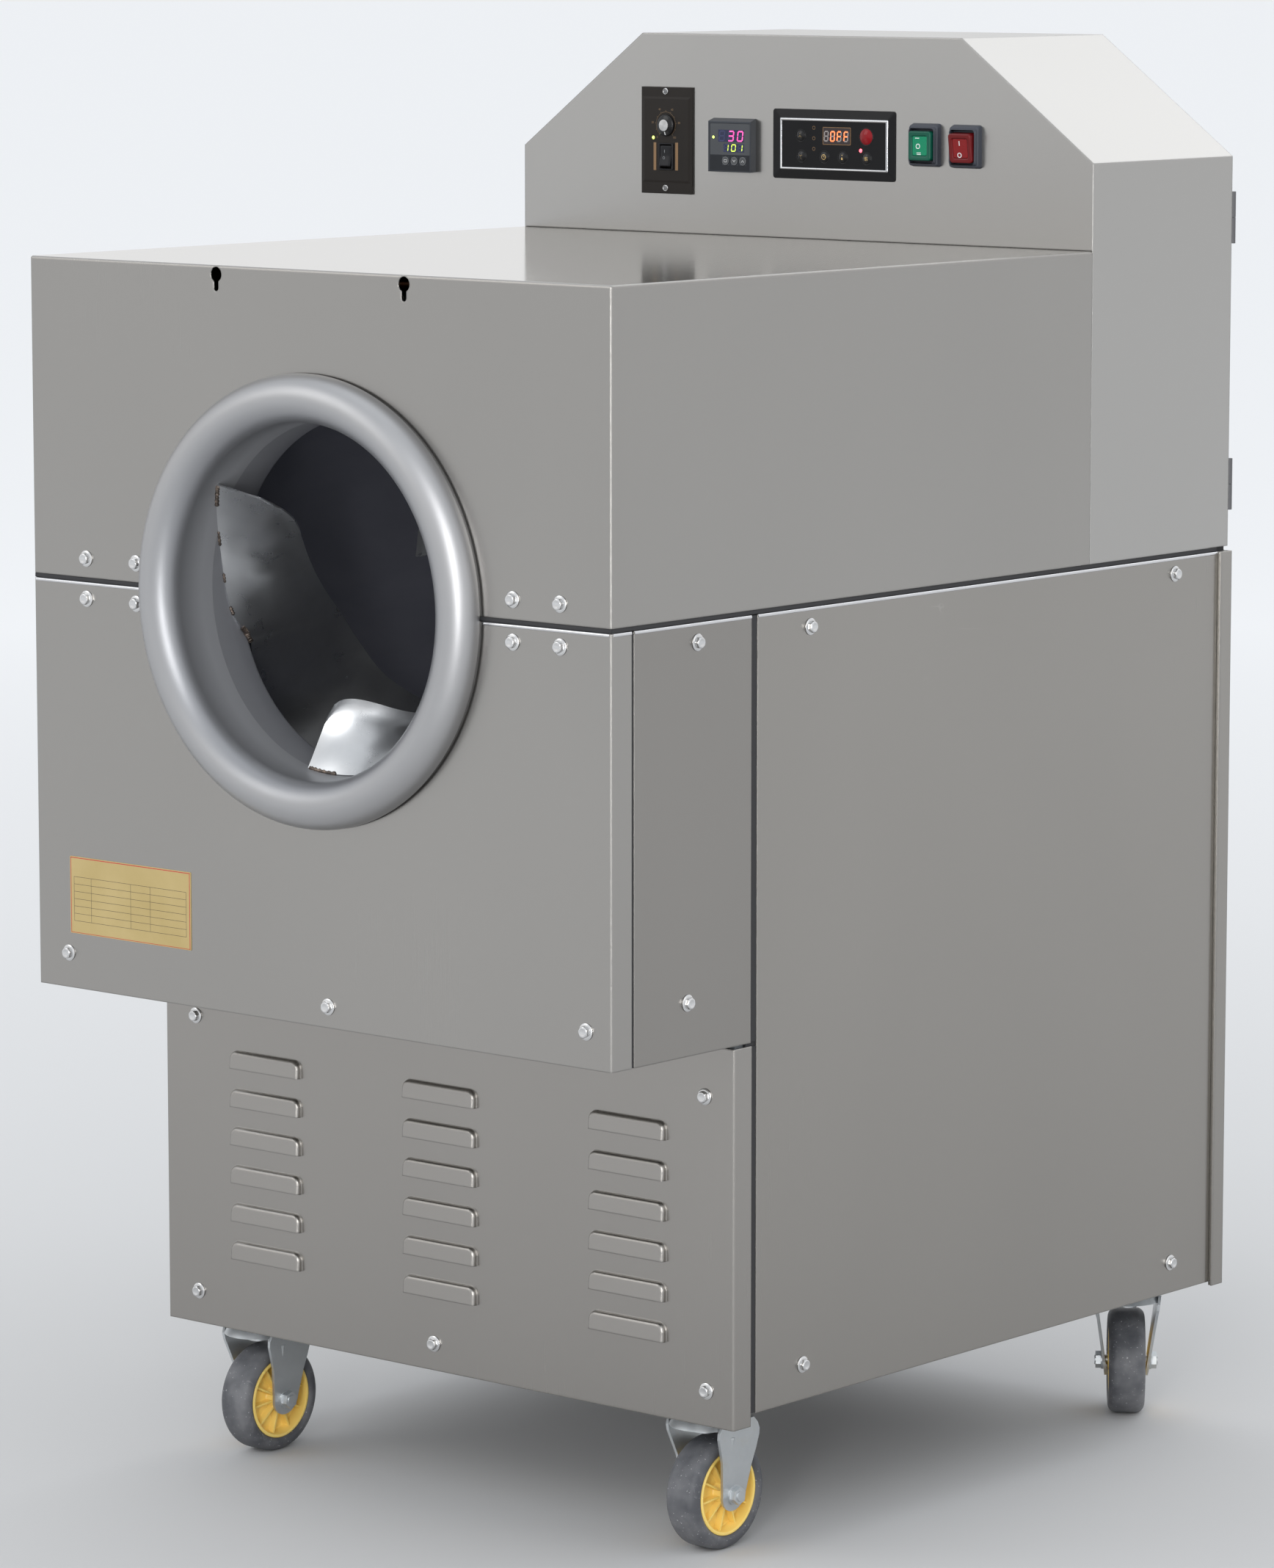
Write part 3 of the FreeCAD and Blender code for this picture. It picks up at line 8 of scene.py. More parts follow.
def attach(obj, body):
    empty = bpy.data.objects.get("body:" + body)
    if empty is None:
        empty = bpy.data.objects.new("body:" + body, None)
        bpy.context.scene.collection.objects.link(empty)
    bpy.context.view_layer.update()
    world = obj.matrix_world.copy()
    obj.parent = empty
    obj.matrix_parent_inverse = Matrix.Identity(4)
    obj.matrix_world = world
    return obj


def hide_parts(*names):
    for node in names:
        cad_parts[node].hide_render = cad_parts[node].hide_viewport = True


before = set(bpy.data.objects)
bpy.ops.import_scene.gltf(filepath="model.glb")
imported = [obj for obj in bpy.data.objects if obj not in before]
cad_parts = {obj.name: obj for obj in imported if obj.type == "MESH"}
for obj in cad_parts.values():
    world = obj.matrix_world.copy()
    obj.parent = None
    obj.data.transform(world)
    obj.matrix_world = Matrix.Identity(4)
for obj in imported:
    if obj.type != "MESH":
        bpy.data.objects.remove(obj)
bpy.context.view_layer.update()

random.seed(7)
Y0 = 470.0
COL = bpy.context.scene.collection


def P(x, y, z):
    """millimetres of the CAD drawing (front face y = 0) to metres of the row frame"""
    return Vector((x * 0.001, (y - Y0) * 0.001, z * 0.001))


# ---------------------------------------------------------------------------
# materials
# ---------------------------------------------------------------------------
class Nt:
    """short hand for building a node tree"""

    def __init__(self, name, body="BSDF"):
        self.m = bpy.data.materials.new(name)
        self.m.use_nodes = True
        self.t = self.m.node_tree
        self.t.nodes.clear()
        self.out = self.n("ShaderNodeOutputMaterial")
        self.b = self.n("ShaderNodeBsdfPrincipled")
        self.l(self.b.outputs[0], self.out.inputs[0])
        self.co = None

    def n(self, kind, **kw):
        nd = self.t.nodes.new(kind)
        for k, v in kw.items():
            setattr(nd, k, v)
        return nd

    def l(self, a, b):
        self.t.links.new(a, b)

    def set(self, **kw):
        for k, v in kw.items():
            self.b.inputs[k.replace("_", " ")].default_value = v

    def obj(self, scale=(1, 1, 1), rot=(0, 0, 0)):
        if self.co is None:
            self.co = self.n("ShaderNodeTexCoord")
        mp = self.n("ShaderNodeMapping")
        mp.inputs["Scale"].default_value = scale
        mp.inputs["Rotation"].default_value = rot
        self.l(self.co.outputs["Object"], mp.inputs["Vector"])
        return mp.outputs[0]

    def noise(self, vec, scale=5.0, detail=3.0, rough=0.5, dist=0.0):
        nd = self.n("ShaderNodeTexNoise")
        nd.inputs["Scale"].default_value = scale
        nd.inputs["Detail"].default_value = detail
        nd.inputs["Roughness"].default_value = rough
        nd.inputs["Distortion"].default_value = dist
        self.l(vec, nd.inputs["Vector"])
        return nd.outputs["Fac"]

    def ramp(self, fac, stops):
        r = self.n("ShaderNodeValToRGB")
        e = r.color_ramp.elements
        while len(e) > len(stops):
            e.remove(e[-1])
        while len(e) < len(stops):
            e.new(1.0)
        for i, (p, c) in enumerate(stops):
            e[i].position = p
            e[i].color = (c, c, c, 1) if isinstance(c, (int, float)) else (c[0], c[1], c[2], 1)
        self.l(fac, r.inputs[0])
        return r.outputs[0]

    def math(self, op, a, b=None, clamp=False):
        m = self.n("ShaderNodeMath", operation=op)
        m.use_clamp = clamp
        for i, v in enumerate((a, b)):
            if v is None:
                continue
            if isinstance(v, (int, float)):
                m.inputs[i].default_value = v
            else:
                self.l(v, m.inputs[i])
        return m.outputs[0]

    def mix(self, fac, a, b):
        m = self.n("ShaderNodeMix", data_type="RGBA")
        for s, v in ((0, fac), (6, a), (7, b)):
            if isinstance(v, (int, float)):
                m.inputs[s].default_value = v
            elif isinstance(v, tuple):
                m.inputs[s].default_value = (v[0], v[1], v[2], 1)
            else:
                self.l(v, m.inputs[s])
        return m.outputs[2]

    def bump(self, height, strength=0.2, dist=0.001, normal=None):
        bp = self.n("ShaderNodeBump")
        bp.inputs["Strength"].default_value = strength
        bp.inputs["Distance"].default_value = dist
        self.l(height, bp.inputs["Height"])
        if normal is not None:
            self.l(normal, bp.inputs["Normal"])
        return bp.outputs[0]

    def bevel(self, radius):
        bv = self.n("ShaderNodeBevel", samples=4)
        bv.inputs["Radius"].default_value = radius
        return bv.outputs[0]


def metal_sheet(name, base, rough, grain=(700, 700, 9), bump=0.035, cloud=0.03, bevel=0.0, spread=0.05, streak=0.010, scratch=1.0, flat=0.0):
    """brushed sheet: fine grain stretched along one axis, soft clouds and a few hair scratches"""
    t = Nt(name)
    g = t.noise(t.obj(grain), 1.0, 3.0, 0.65)
    g2 = t.noise(t.obj((grain[0] * 0.35, grain[1] * 0.35, grain[2] * 0.35)), 1.0, 2.0, 0.5)
    c = t.noise(t.obj((2.3, 2.3, 1.6)), 1.0, 2.0, 0.5, 0.4)
    # hair scratches: thin contour lines of a distorted noise, present in patches only
    s1 = t.noise(t.obj((9, 9, 26), (0.3, 0.5, 0.2)), 1.0, 1.0, 0.4, 1.2)
    line = t.math("COMPARE", s1, 0.5)
    line.node.inputs[2].default_value = 0.0009
    patch = t.ramp(t.noise(t.obj((3.1, 3.1, 3.1)), 1.0, 1.0), [(0.60, 0.0), (0.72, 1.0)])
    scr = t.math("MULTIPLY", t.math("MULTIPLY", line, patch), scratch)
    col = t.mix(c, tuple(v * (1 - cloud) for v in base), tuple(min(1, v * (1 + cloud)) for v in base))
    gr = t.ramp(g2, [(0.3, 1.0 - streak), (0.7, 1.0)])
    mul = t.n("ShaderNodeMix", data_type="RGBA", blend_type="MULTIPLY")
    mul.inputs[0].default_value = 1.0
    t.l(col, mul.inputs[6])
    t.l(gr, mul.inputs[7])
    col = t.mix(t.math("MULTIPLY", scr, 0.6), mul.outputs[2], tuple(min(1, v * 1.2) for v in base))
    t.l(col, t.b.inputs["Base Color"])
    r = t.math("ADD", t.math("MULTIPLY", c, spread * 1.4), t.math("MULTIPLY", g, spread))
    r = t.math("ADD", r, rough - spread * 1.2)
    if flat:
        sn = t.n("ShaderNodeSeparateXYZ")
        t.l(t.co.outputs["Normal"], sn.inputs[0])
        r = t.math("SUBTRACT", r, t.math("MULTIPLY", t.ramp(sn.outputs[2], [(0.90, 0.0), (0.98, 1.0)]), flat))
    t.l(r, t.b.inputs["Roughness"])
    t.set(Metallic=1.0)
    nrm = t.bevel(bevel) if bevel else None
    h = t.math("ADD", g, t.math("MULTIPLY", scr, -0.8))
    t.l(t.bump(h, bump, 0.0004, nrm), t.b.inputs["Normal"])
    return t.m


def plastic(name, base, rough, grain=900.0, bump=0.05, coat=0.0, bevel=0.0004, vary=0.15, spec=0.5):
    t = Nt(name)
    f = t.noise(t.obj((grain, grain, grain)), 1.0, 2.0, 0.6)
    c = t.noise(t.obj((30, 30, 30)), 1.0, 2.0, 0.5)
    col = t.mix(c, tuple(v * (1 - vary) for v in base), tuple(min(1, v * (1 + vary)) for v in base))
    t.l(col, t.b.inputs["Base Color"])
    r = t.math("ADD", t.math("MULTIPLY", c, 0.10), t.math("MULTIPLY", f, 0.06))
    t.l(t.math("ADD", r, rough - 0.08), t.b.inputs["Roughness"])
    t.b.inputs["Specular IOR Level"].default_value = spec
    t.b.inputs["Coat Weight"].default_value = coat
    t.b.inputs["Coat Roughness"].default_value = 0.06
    t.l(t.bump(f, bump, 0.0002, t.bevel(bevel) if bevel else None), t.b.inputs["Normal"])
    return t.m


def glow(name, color, strength, base=(0.02, 0.02, 0.02)):
    """lit segment or lamp: brighter in places by a fine noise"""
    t = Nt(name)
    f = t.noise(t.obj((700, 700, 700)), 1.0, 1.0)
    col = t.mix(t.ramp(f, [(0.3, 0.0), (0.7, 0.25)]), color, tuple(min(1.0, v + 0.35) for v in color))
    t.l(col, t.b.inputs["Emission Color"])
    t.b.inputs["Emission Strength"].default_value = strength
    t.b.inputs["Base Color"].default_value = (*base, 1)
    t.b.inputs["Roughness"].default_value = 0.4
    return t.m


def mat_ring():
    """rolled ring: satin outside, duller and rubbed towards the throat"""
    t = Nt("ring_steel")
    sep = t.n("ShaderNodeSeparateXYZ")
    t.l(t.obj(), sep.inputs[0])
    y_mm = t.math("MULTIPLY_ADD", sep.outputs[1], 1000.0)
    y_mm.node.inputs[2].default_value = 470.0
    inner = t.ramp(t.math("MULTIPLY_ADD", y_mm, 0.02), [(0.0, 0.0), (1.0, 1.0)])
    r2 = t.math("ADD", t.math("POWER", sep.outputs[0], 2.0), t.math("POWER", t.math("SUBTRACT", sep.outputs[2], 0.888), 2.0))
    core = t.ramp(t.math("SQRT", r2), [(0.170, 1.0), (0.186, 0.0)])
    c = t.noise(t.obj((7, 7, 7)), 1.0, 3.0, 0.5, 0.4)
    f = t.noise(t.obj((60, 60, 60)), 1.0, 3.0, 0.6)
    col = t.mix(c, (0.400, 0.400, 0.407), (0.440, 0.440, 0.447))
    t.l(t.mix(core, col, (0.32, 0.325, 0.34)), t.b.inputs["Base Color"])
    t.l(t.math("ADD", t.math("MULTIPLY", c, 0.07), t.math("ADD", t.math("MULTIPLY", f, 0.05), 0.36)), t.b.inputs["Roughness"])
    t.l(t.math("SUBTRACT", 1.0, t.math("MULTIPLY", t.math("MULTIPLY", core, inner), 0.75)), t.b.inputs["Metallic"])
    return t.m


M = {}
# One brushed steel in five copies: the tower copy is tinted lighter as painted light, and the side, louvre and narrow
# copies are darker as painted shade.
for key, nm_, base_ in (("casing", "casing_steel", (0.356, 0.344, 0.326)), ("casing_tower", "casing_steel_housing_painted_light", (0.425, 0.415, 0.399)),
                        ("casing_side", "casing_steel_side_painted_shade", (0.338, 0.323, 0.301)), ("casing_louvre", "casing_steel_louvre_painted_shade", (0.350, 0.335, 0.315)),
                        ("casing_narrow", "casing_steel_narrow_painted_shade", (0.300, 0.287, 0.269))):
    M[key] = metal_sheet(nm_, base_, 0.27, grain=(900, 900, 6), bump=0.001, cloud=0.05, bevel=0.0022, streak=0.004, spread=0.010,
                         flat=0.15 if key == "casing" else 0.0)
# The hems use a much brighter copy of the panel steel: a painted highlight along the folded edges.
M["hem"] = metal_sheet("folded_edge_painted_highlight", (0.66, 0.66, 0.67), 0.17, bump=0.002, streak=0.004, spread=0.01, scratch=0.0)
M["ring"] = mat_ring()
M["bright"] = metal_sheet("bright_zinc", (0.66, 0.66, 0.66), 0.20, grain=(300, 300, 300), bump=0.04, cloud=0.12, spread=0.10)
M["machined"] = metal_sheet("machined_steel", (0.50, 0.50, 0.50), 0.30, grain=(600, 60, 600), bevel=0.0006)
M["hinge"] = metal_sheet("hinge_steel", (0.16, 0.16, 0.165), 0.42, grain=(300, 300, 300), bevel=0.0005)
M["chain"] = metal_sheet("oiled_chain", (0.16, 0.155, 0.15), 0.34, grain=(300, 300, 300), bevel=0.0003)
M["module"] = metal_sheet("module_case", (0.56, 0.56, 0.56), 0.36, grain=(260, 8, 260), bevel=0.0008)


def mat_paint(name, base, rough=0.45):
    t = Nt(name)
    o = t.noise(t.obj((260, 260, 260)), 1.0, 3.0, 0.6)
    c = t.noise(t.obj((6, 6, 6)), 1.0, 3.0, 0.6)
    e = t.ramp(t.noise(t.obj((22, 22, 22)), 1.0, 4.0, 0.7), [(0.30, 1.0), (0.36, 0.0)])
    col = t.mix(c, tuple(v * 0.88 for v in base), tuple(min(1, v * 1.08) for v in base))
    col = t.mix(t.math("MULTIPLY", e, 0.5), col, tuple(v * 0.5 for v in base))
    t.l(col, t.b.inputs["Base Color"])
    t.l(t.math("ADD", t.math("MULTIPLY", o, 0.12), rough - 0.06), t.b.inputs["Roughness"])
    t.l(t.bump(o, 0.12, 0.0006, t.bevel(0.0008)), t.b.inputs["Normal"])
    return t.m


M["frame_paint"] = mat_paint("frame_paint", (0.20, 0.215, 0.23))
M["motor_paint"] = mat_paint("motor_paint", (0.07, 0.13, 0.19), 0.4)
M["bearing"] = mat_paint("bearing_paint", (0.05, 0.12, 0.085), 0.5)


def mat_drum():
    t = Nt("drum_steel_painted_depth_shade")
    sep = t.n("ShaderNodeSeparateXYZ")
    t.l(t.obj(), sep.inputs[0])
    # from the mouth (y = -0.43) to the depth the wall gets darker and duller: painted shade inside the drum, slightly
    # bluer where deepest
    depth = t.ramp(t.math("ADD", t.math("MULTIPLY", sep.outputs[1], 6.5), 2.85), [(0.0, 0.0), (1.0, 1.0)])
    c = t.noise(t.obj((14, 5, 14)), 1.0, 4.0, 0.6, 0.5)
    f = t.noise(t.obj((120, 40, 120)), 1.0, 3.0, 0.6)
    near = t.mix(c, (0.24, 0.245, 0.26), (0.30, 0.305, 0.32))
    shade_colour = t.mix(c, (0.16, 0.165, 0.20), (0.26, 0.265, 0.31))
    t.l(t.mix(depth, near, shade_colour), t.b.inputs["Base Color"])
    t.l(t.math("ADD", t.math("MULTIPLY", c, 0.12), 0.40), t.b.inputs["Roughness"])
    t.set(Metallic=0.35)
    t.l(t.bump(f, 0.06, 0.0006), t.b.inputs["Normal"])
    return t.m


def mat_vane():
    t = Nt("vane_steel")
    c = t.noise(t.obj((11, 11, 11)), 1.0, 4.0, 0.65, 0.8)
    s = t.ramp(t.noise(t.obj((45, 45, 45)), 1.0, 4.0, 0.7, 0.6), [(0.42, 0.0), (0.62, 1.0)])
    f = t.noise(t.obj((300, 300, 300)), 1.0, 3.0, 0.6)
    col = t.mix(c, (0.50, 0.51, 0.52), (0.66, 0.67, 0.68))
    col = t.mix(t.math("MULTIPLY", s, 0.05), col, (0.42, 0.40, 0.37))
    t.l(col, t.b.inputs["Base Color"])
    t.l(t.math("ADD", t.math("MULTIPLY", c, 0.12), t.math("ADD", t.math("MULTIPLY", s, 0.03), 0.22)), t.b.inputs["Roughness"])
    t.set(Metallic=0.97)
    t.l(t.bump(f, 0.03, 0.0006), t.b.inputs["Normal"])
    return t.m


def mat_weld():
    t = Nt("weld_bead")
    c = t.noise(t.obj((160, 160, 160)), 1.0, 4.0, 0.7)
    t.l(t.ramp(c, [(0.3, (0.05, 0.045, 0.045)), (0.52, (0.16, 0.13, 0.11)), (0.72, (0.42, 0.33, 0.27))]), t.b.inputs["Base Color"])
    t.set(Metallic=0.8, Roughness=0.5)
    t.l(t.bump(c, 0.5, 0.001), t.b.inputs["Normal"])
    return t.m


M["drum"] = mat_drum()
M["vane"] = mat_vane()
M["weld"] = mat_weld()


def mat_copper():
    t = Nt("copper_tube")
    c = t.noise(t.obj((18, 18, 18)), 1.0, 4.0, 0.6, 0.6)
    f = t.noise(t.obj((400, 400, 400)), 1.0, 2.0, 0.6)
    t.l(t.ramp(c, [(0.3, (0.52, 0.22, 0.13)), (0.55, (0.72, 0.36, 0.22)), (0.75, (0.40, 0.20, 0.15))]), t.b.inputs["Base Color"])
    t.l(t.math("ADD", t.math("MULTIPLY", c, 0.25), 0.20), t.b.inputs["Roughness"])
    t.set(Metallic=1.0)
    t.l(t.bump(f, 0.06, 0.0004), t.b.inputs["Normal"])
    return t.m


def mat_wool():
    t = Nt("ceramic_wool")
    f = t.noise(t.obj((150, 150, 150)), 1.0, 6.0, 0.75, 1.5)
    c = t.noise(t.obj((8, 8, 8)), 1.0, 3.0, 0.6)
    col = t.mix(c, (0.66, 0.63, 0.56), (0.80, 0.78, 0.72))
    col = t.mix(t.ramp(f, [(0.35, 0.35), (0.6, 0.0)]), col, (0.42, 0.39, 0.33))
    t.l(col, t.b.inputs["Base Color"])
    t.set(Roughness=0.95)
    t.b.inputs["Sheen Weight"].default_value = 0.3
    t.l(t.bump(f, 0.9, 0.003), t.b.inputs["Normal"])
    return t.m


M["copper"] = mat_copper()
M["wool"] = mat_wool()


def mat_rubber(name, base, rough=0.62, dust=0.0):
    t = Nt(name)
    f = t.noise(t.obj((500, 500, 500)), 1.0, 3.0, 0.6)
    c = t.noise(t.obj((16, 16, 16)), 1.0, 4.0, 0.65)
    col = t.mix(c, tuple(v * 0.82 for v in base), tuple(min(1, v * 1.15) for v in base))
    if dust:
        d = t.ramp(t.noise(t.obj((90, 90, 90)), 1.0, 5.0, 0.75, 0.8), [(0.60, 0.0), (0.72, 1.0)])
        sp = t.ramp(t.noise(t.obj((420, 420, 420)), 1.0, 1.0, 0.5), [(0.70, 0.0), (0.76, 1.0)])
        d2 = t.ramp(t.noise(t.obj((22, 22, 22)), 1.0, 3.0, 0.6), [(0.40, 0.0), (0.70, 1.0)])
        k = t.math("ADD", t.math("MULTIPLY", d, 0.22 * dust), t.math("MULTIPLY", d2, 0.30 * dust))
        k = t.math("ADD", k, t.math("MULTIPLY", sp, 0.65 * dust), clamp=True)
        col = t.mix(k, col, (0.42, 0.42, 0.43))
        t.l(t.math("ADD", t.math("MULTIPLY", k, 0.25), rough), t.b.inputs["Roughness"])
    else:
        t.l(t.math("ADD", t.math("MULTIPLY", c, 0.16), rough - 0.08), t.b.inputs["Roughness"])
    t.l(col, t.b.inputs["Base Color"])
    t.l(t.bump(f, 0.12, 0.0004, t.bevel(0.0006)), t.b.inputs["Normal"])
    return t.m


M["seal"] = mat_rubber("seal_rubber", (0.022, 0.022, 0.024), 0.7)
M["tyre"] = mat_rubber("tyre_rubber", (0.075, 0.078, 0.088), 0.50, dust=1.0)
M["boot"] = mat_rubber("switch_boot", (0.040, 0.045, 0.060), 0.46)


def mat_hub():
    t = Nt("hub_plastic")
    f = t.noise(t.obj((350, 350, 350)), 1.0, 3.0, 0.6)
    c = t.noise(t.obj((30, 30, 30)), 1.0, 4.0, 0.6)
    d = t.ramp(t.noise(t.obj((70, 70, 70)), 1.0, 5.0, 0.75), [(0.58, 0.0), (0.75, 1.0)])
    col = t.mix(c, (0.90, 0.62, 0.13), (0.98, 0.75, 0.24))
    col = t.mix(t.math("MULTIPLY", d, 0.20), col, (0.60, 0.48, 0.30))
    t.l(col, t.b.inputs["Base Color"])
    t.l(t.math("ADD", t.math("MULTIPLY", c, 0.15), 0.28), t.b.inputs["Roughness"])
    t.b.inputs["Subsurface Weight"].default_value = 0.08
    t.b.inputs["Subsurface Radius"].default_value = (0.004, 0.002, 0.0008)
    t.l(t.bump(f, 0.06, 0.0003, t.bevel(0.0006)), t.b.inputs["Normal"])
    return t.m


M["hub"] = mat_hub()


def mat_galv():
    t = Nt("galvanised")
    v = t.n("ShaderNodeTexVoronoi")
    v.inputs["Scale"].default_value = 1.0
    t.l(t.obj((160, 160, 160)), v.inputs["Vector"])
    c = t.noise(t.obj((20, 20, 20)), 1.0, 4.0, 0.6, 0.4)
    sp = t.math("MULTIPLY", v.outputs["Distance"], 0.12)
    col = t.mix(c, (0.50, 0.53, 0.55), (0.66, 0.68, 0.69))
    yel = t.ramp(t.noise(t.obj((34, 34, 34)), 1.0, 3.0, 0.6), [(0.55, 0.0), (0.72, 1.0)])
    col = t.mix(t.math("MULTIPLY", yel, 0.18), col, (0.50, 0.46, 0.34))
    t.l(col, t.b.inputs["Base Color"])
    t.l(t.math("ADD", t.math("ADD", sp, t.math("MULTIPLY", c, 0.14)), 0.30), t.b.inputs["Roughness"])
    t.set(Metallic=0.85)
    t.l(t.bump(c, 0.05, 0.0006, t.bevel(0.0006)), t.b.inputs["Normal"])
    return t.m


M["galv"] = mat_galv()


def mat_plate():
    t = Nt("type_plate_gold")
    g = t.noise(t.obj((30, 300, 900)), 1.0, 3.0, 0.6)
    c = t.noise(t.obj((25, 25, 25)), 1.0, 3.0, 0.6)
    t.l(t.mix(c, (0.50, 0.38, 0.16), (0.62, 0.49, 0.24)), t.b.inputs["Base Color"])
    t.l(t.math("ADD", t.math("MULTIPLY", g, 0.12), 0.34), t.b.inputs["Roughness"])
    t.set(Metallic=0.75)
    t.l(t.bump(g, 0.05, 0.0002), t.b.inputs["Normal"])
    return t.m


M["plate"] = mat_plate()
M["ink"] = plastic("printed_ink", (0.025, 0.02, 0.018), 0.6, bevel=0)
M["ink_red"] = plastic("printed_red", (0.45, 0.03, 0.03), 0.5, bevel=0)
M["black"] = plastic("black_plastic", (0.014, 0.012, 0.011), 0.42, grain=1200, bump=0.08, bevel=0.0006, spec=0.2)
M["black_gloss"] = plastic("black_gloss", (0.008, 0.008, 0.009), 0.16, bump=0.01, coat=0.0, bevel=0.0005, spec=0.35)
M["black_satin"] = plastic("black_satin", (0.012, 0.012, 0.014), 0.32, bump=0.03, bevel=0.0009, spec=0.2)
M["power_case"] = plastic("power_case", (0.010, 0.010, 0.011), 0.30, bump=0.02, bevel=0.0007, spec=0.14)
M["face_gloss"] = plastic("panel_film", (0.009, 0.009, 0.010), 0.24, bump=0.01, coat=0.0, bevel=0, spec=0.14)
M["screw"] = metal_sheet("dark_screw", (0.20, 0.20, 0.205), 0.30, grain=(300, 300, 300), cloud=0.1)
M["speed_face"] = plastic("speed_face", (0.016, 0.013, 0.011), 0.46, grain=1500, bump=0.08, bevel=0.0006, spec=0.2)
M["gold_ink"] = plastic("gold_ink", (0.22, 0.125, 0.055), 0.5, bevel=0)
M["gold_icon"] = plastic("gold_icon", (0.62, 0.42, 0.16), 0.4, bevel=0)
M["gold_dim"] = plastic("gold_dim", (0.16, 0.10, 0.05), 0.5, bevel=0)
M["white_ink"] = plastic("white_ink", (0.78, 0.80, 0.80), 0.45, bevel=0)
M["grey_ink"] = plastic("grey_ink", (0.22, 0.23, 0.24), 0.5, bevel=0)
M["tc_case"] = plastic("temperature_case", (0.036, 0.041, 0.050), 0.40, bump=0.05, bevel=0.0006, spec=0.3)
M["tc_window"] = plastic("temperature_window", (0.070, 0.075, 0.082), 0.22, bump=0.01, coat=0.0, bevel=0.0003, spec=0.25)
M["tc_lower"] = plastic("temperature_lower", (0.018, 0.020, 0.024), 0.35, bump=0.02, bevel=0, spec=0.2)
M["navy"] = plastic("display_navy", (0.010, 0.012, 0.055), 0.25, bump=0.01, bevel=0)
M["seg_off"] = plastic("segment_off", (0.030, 0.038, 0.11), 0.35, bump=0.01, bevel=0)
M["red_window"] = plastic("display_dark", (0.020, 0.010, 0.010), 0.2, bump=0.01, bevel=0)
M["seg_off_grey"] = plastic("segment_off_grey", (0.30, 0.27, 0.26), 0.4, bump=0.01, bevel=0)
M["grey_button"] = plastic("grey_button", (0.075, 0.078, 0.082), 0.42, bump=0.03, bevel=0.0003, spec=0.25)
M["fan_plastic"] = plastic("fan_plastic", (0.022, 0.022, 0.024), 0.45, bump=0.05, bevel=0.0006)
M["magenta"] = glow("lit_magenta", (1.0, 0.03, 0.32), 2.0)
M["lime"] = glow("lit_lime", (0.72, 1.0, 0.05), 1.5)
M["orange"] = glow("lit_orange", (1.0, 0.14, 0.015), 2.6)
M["led_green"] = glow("lamp_green", (0.72, 1.0, 0.10), 3.2)
M["led_red"] = glow("lamp_red", (1.0, 0.04, 0.07), 5.0)


def chrome(name):
    t = Nt(name)
    c = t.noise(t.obj((60, 60, 60)), 1.0, 2.0, 0.5)
    t.l(t.mix(c, (0.48, 0.485, 0.50), (0.58, 0.585, 0.60)), t.b.inputs["Base Color"])
    t.l(t.math("ADD", t.math("MULTIPLY", c, 0.08), 0.14), t.b.inputs["Roughness"])
    t.set(Metallic=1.0)
    return t.m


M["chrome"] = chrome("chrome_trim")


def clear_colour(name, base, shade_colour, rough=0.16):
    """coloured moulded lens with a coat, darker towards grazing angles: a painted shade set by the facing angle"""
    t = Nt(name)
    lw = t.n("ShaderNodeLayerWeight")
    lw.inputs[0].default_value = 0.35
    c = t.noise(t.obj((120, 120, 120)), 1.0, 2.0, 0.5)
    col = t.mix(lw.outputs["Facing"], base, shade_colour)
    col = t.mix(t.math("MULTIPLY", c, 0.25), col, tuple(v * 0.7 for v in base))
    t.l(col, t.b.inputs["Base Color"])
    t.l(t.math("ADD", t.math("MULTIPLY", c, 0.08), rough - 0.04), t.b.inputs["Roughness"])
    t.b.inputs["Specular IOR Level"].default_value = 0.25
    t.b.inputs["Coat Weight"].default_value = 0.08
    t.b.inputs["Coat Roughness"].default_value = 0.12
    return t.m


M["green_boot"] = clear_colour("green_boot", (0.003, 0.095, 0.058), (0.002, 0.045, 0.032), 0.32)
M["green_lens"] = clear_colour("green_lens", (0.003, 0.25, 0.12), (0.003, 0.12, 0.07), 0.28)
M["red_boot"] = clear_colour("red_boot", (0.15, 0.004, 0.006), (0.06, 0.003, 0.004), 0.32)
M["red_lens"] = clear_colour("red_lens", (0.24, 0.005, 0.008), (0.10, 0.004, 0.006), 0.28)
M["red_dome"] = clear_colour("red_dome", (0.26, 0.004, 0.009), (0.11, 0.003, 0.005), 0.16)


# ---------------------------------------------------------------------------
# mesh helpers (all sizes in millimetres of the CAD drawing)
# ---------------------------------------------------------------------------
def obj_from_bm(name, bm, mats, body, smooth=True, angle=35.0, recalc=True):
    if recalc:
        bmesh.ops.recalc_face_normals(bm, faces=bm.faces)
    me = bpy.data.meshes.new(name)
    bm.to_mesh(me)
    bm.free()
    for m in (mats if isinstance(mats, (list, tuple)) else [mats]):
        me.materials.append(m)
    if smooth:
        me.polygons.foreach_set("use_smooth", [True] * len(me.polygons))
        me.set_sharp_from_angle(angle=math.radians(angle))
    ob = bpy.data.objects.new(name, me)
    COL.objects.link(ob)
    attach(ob, body)
    return ob


def merge(bm, dist=1e-7):
    bmesh.ops.remove_doubles(bm, verts=bm.verts, dist=dist)


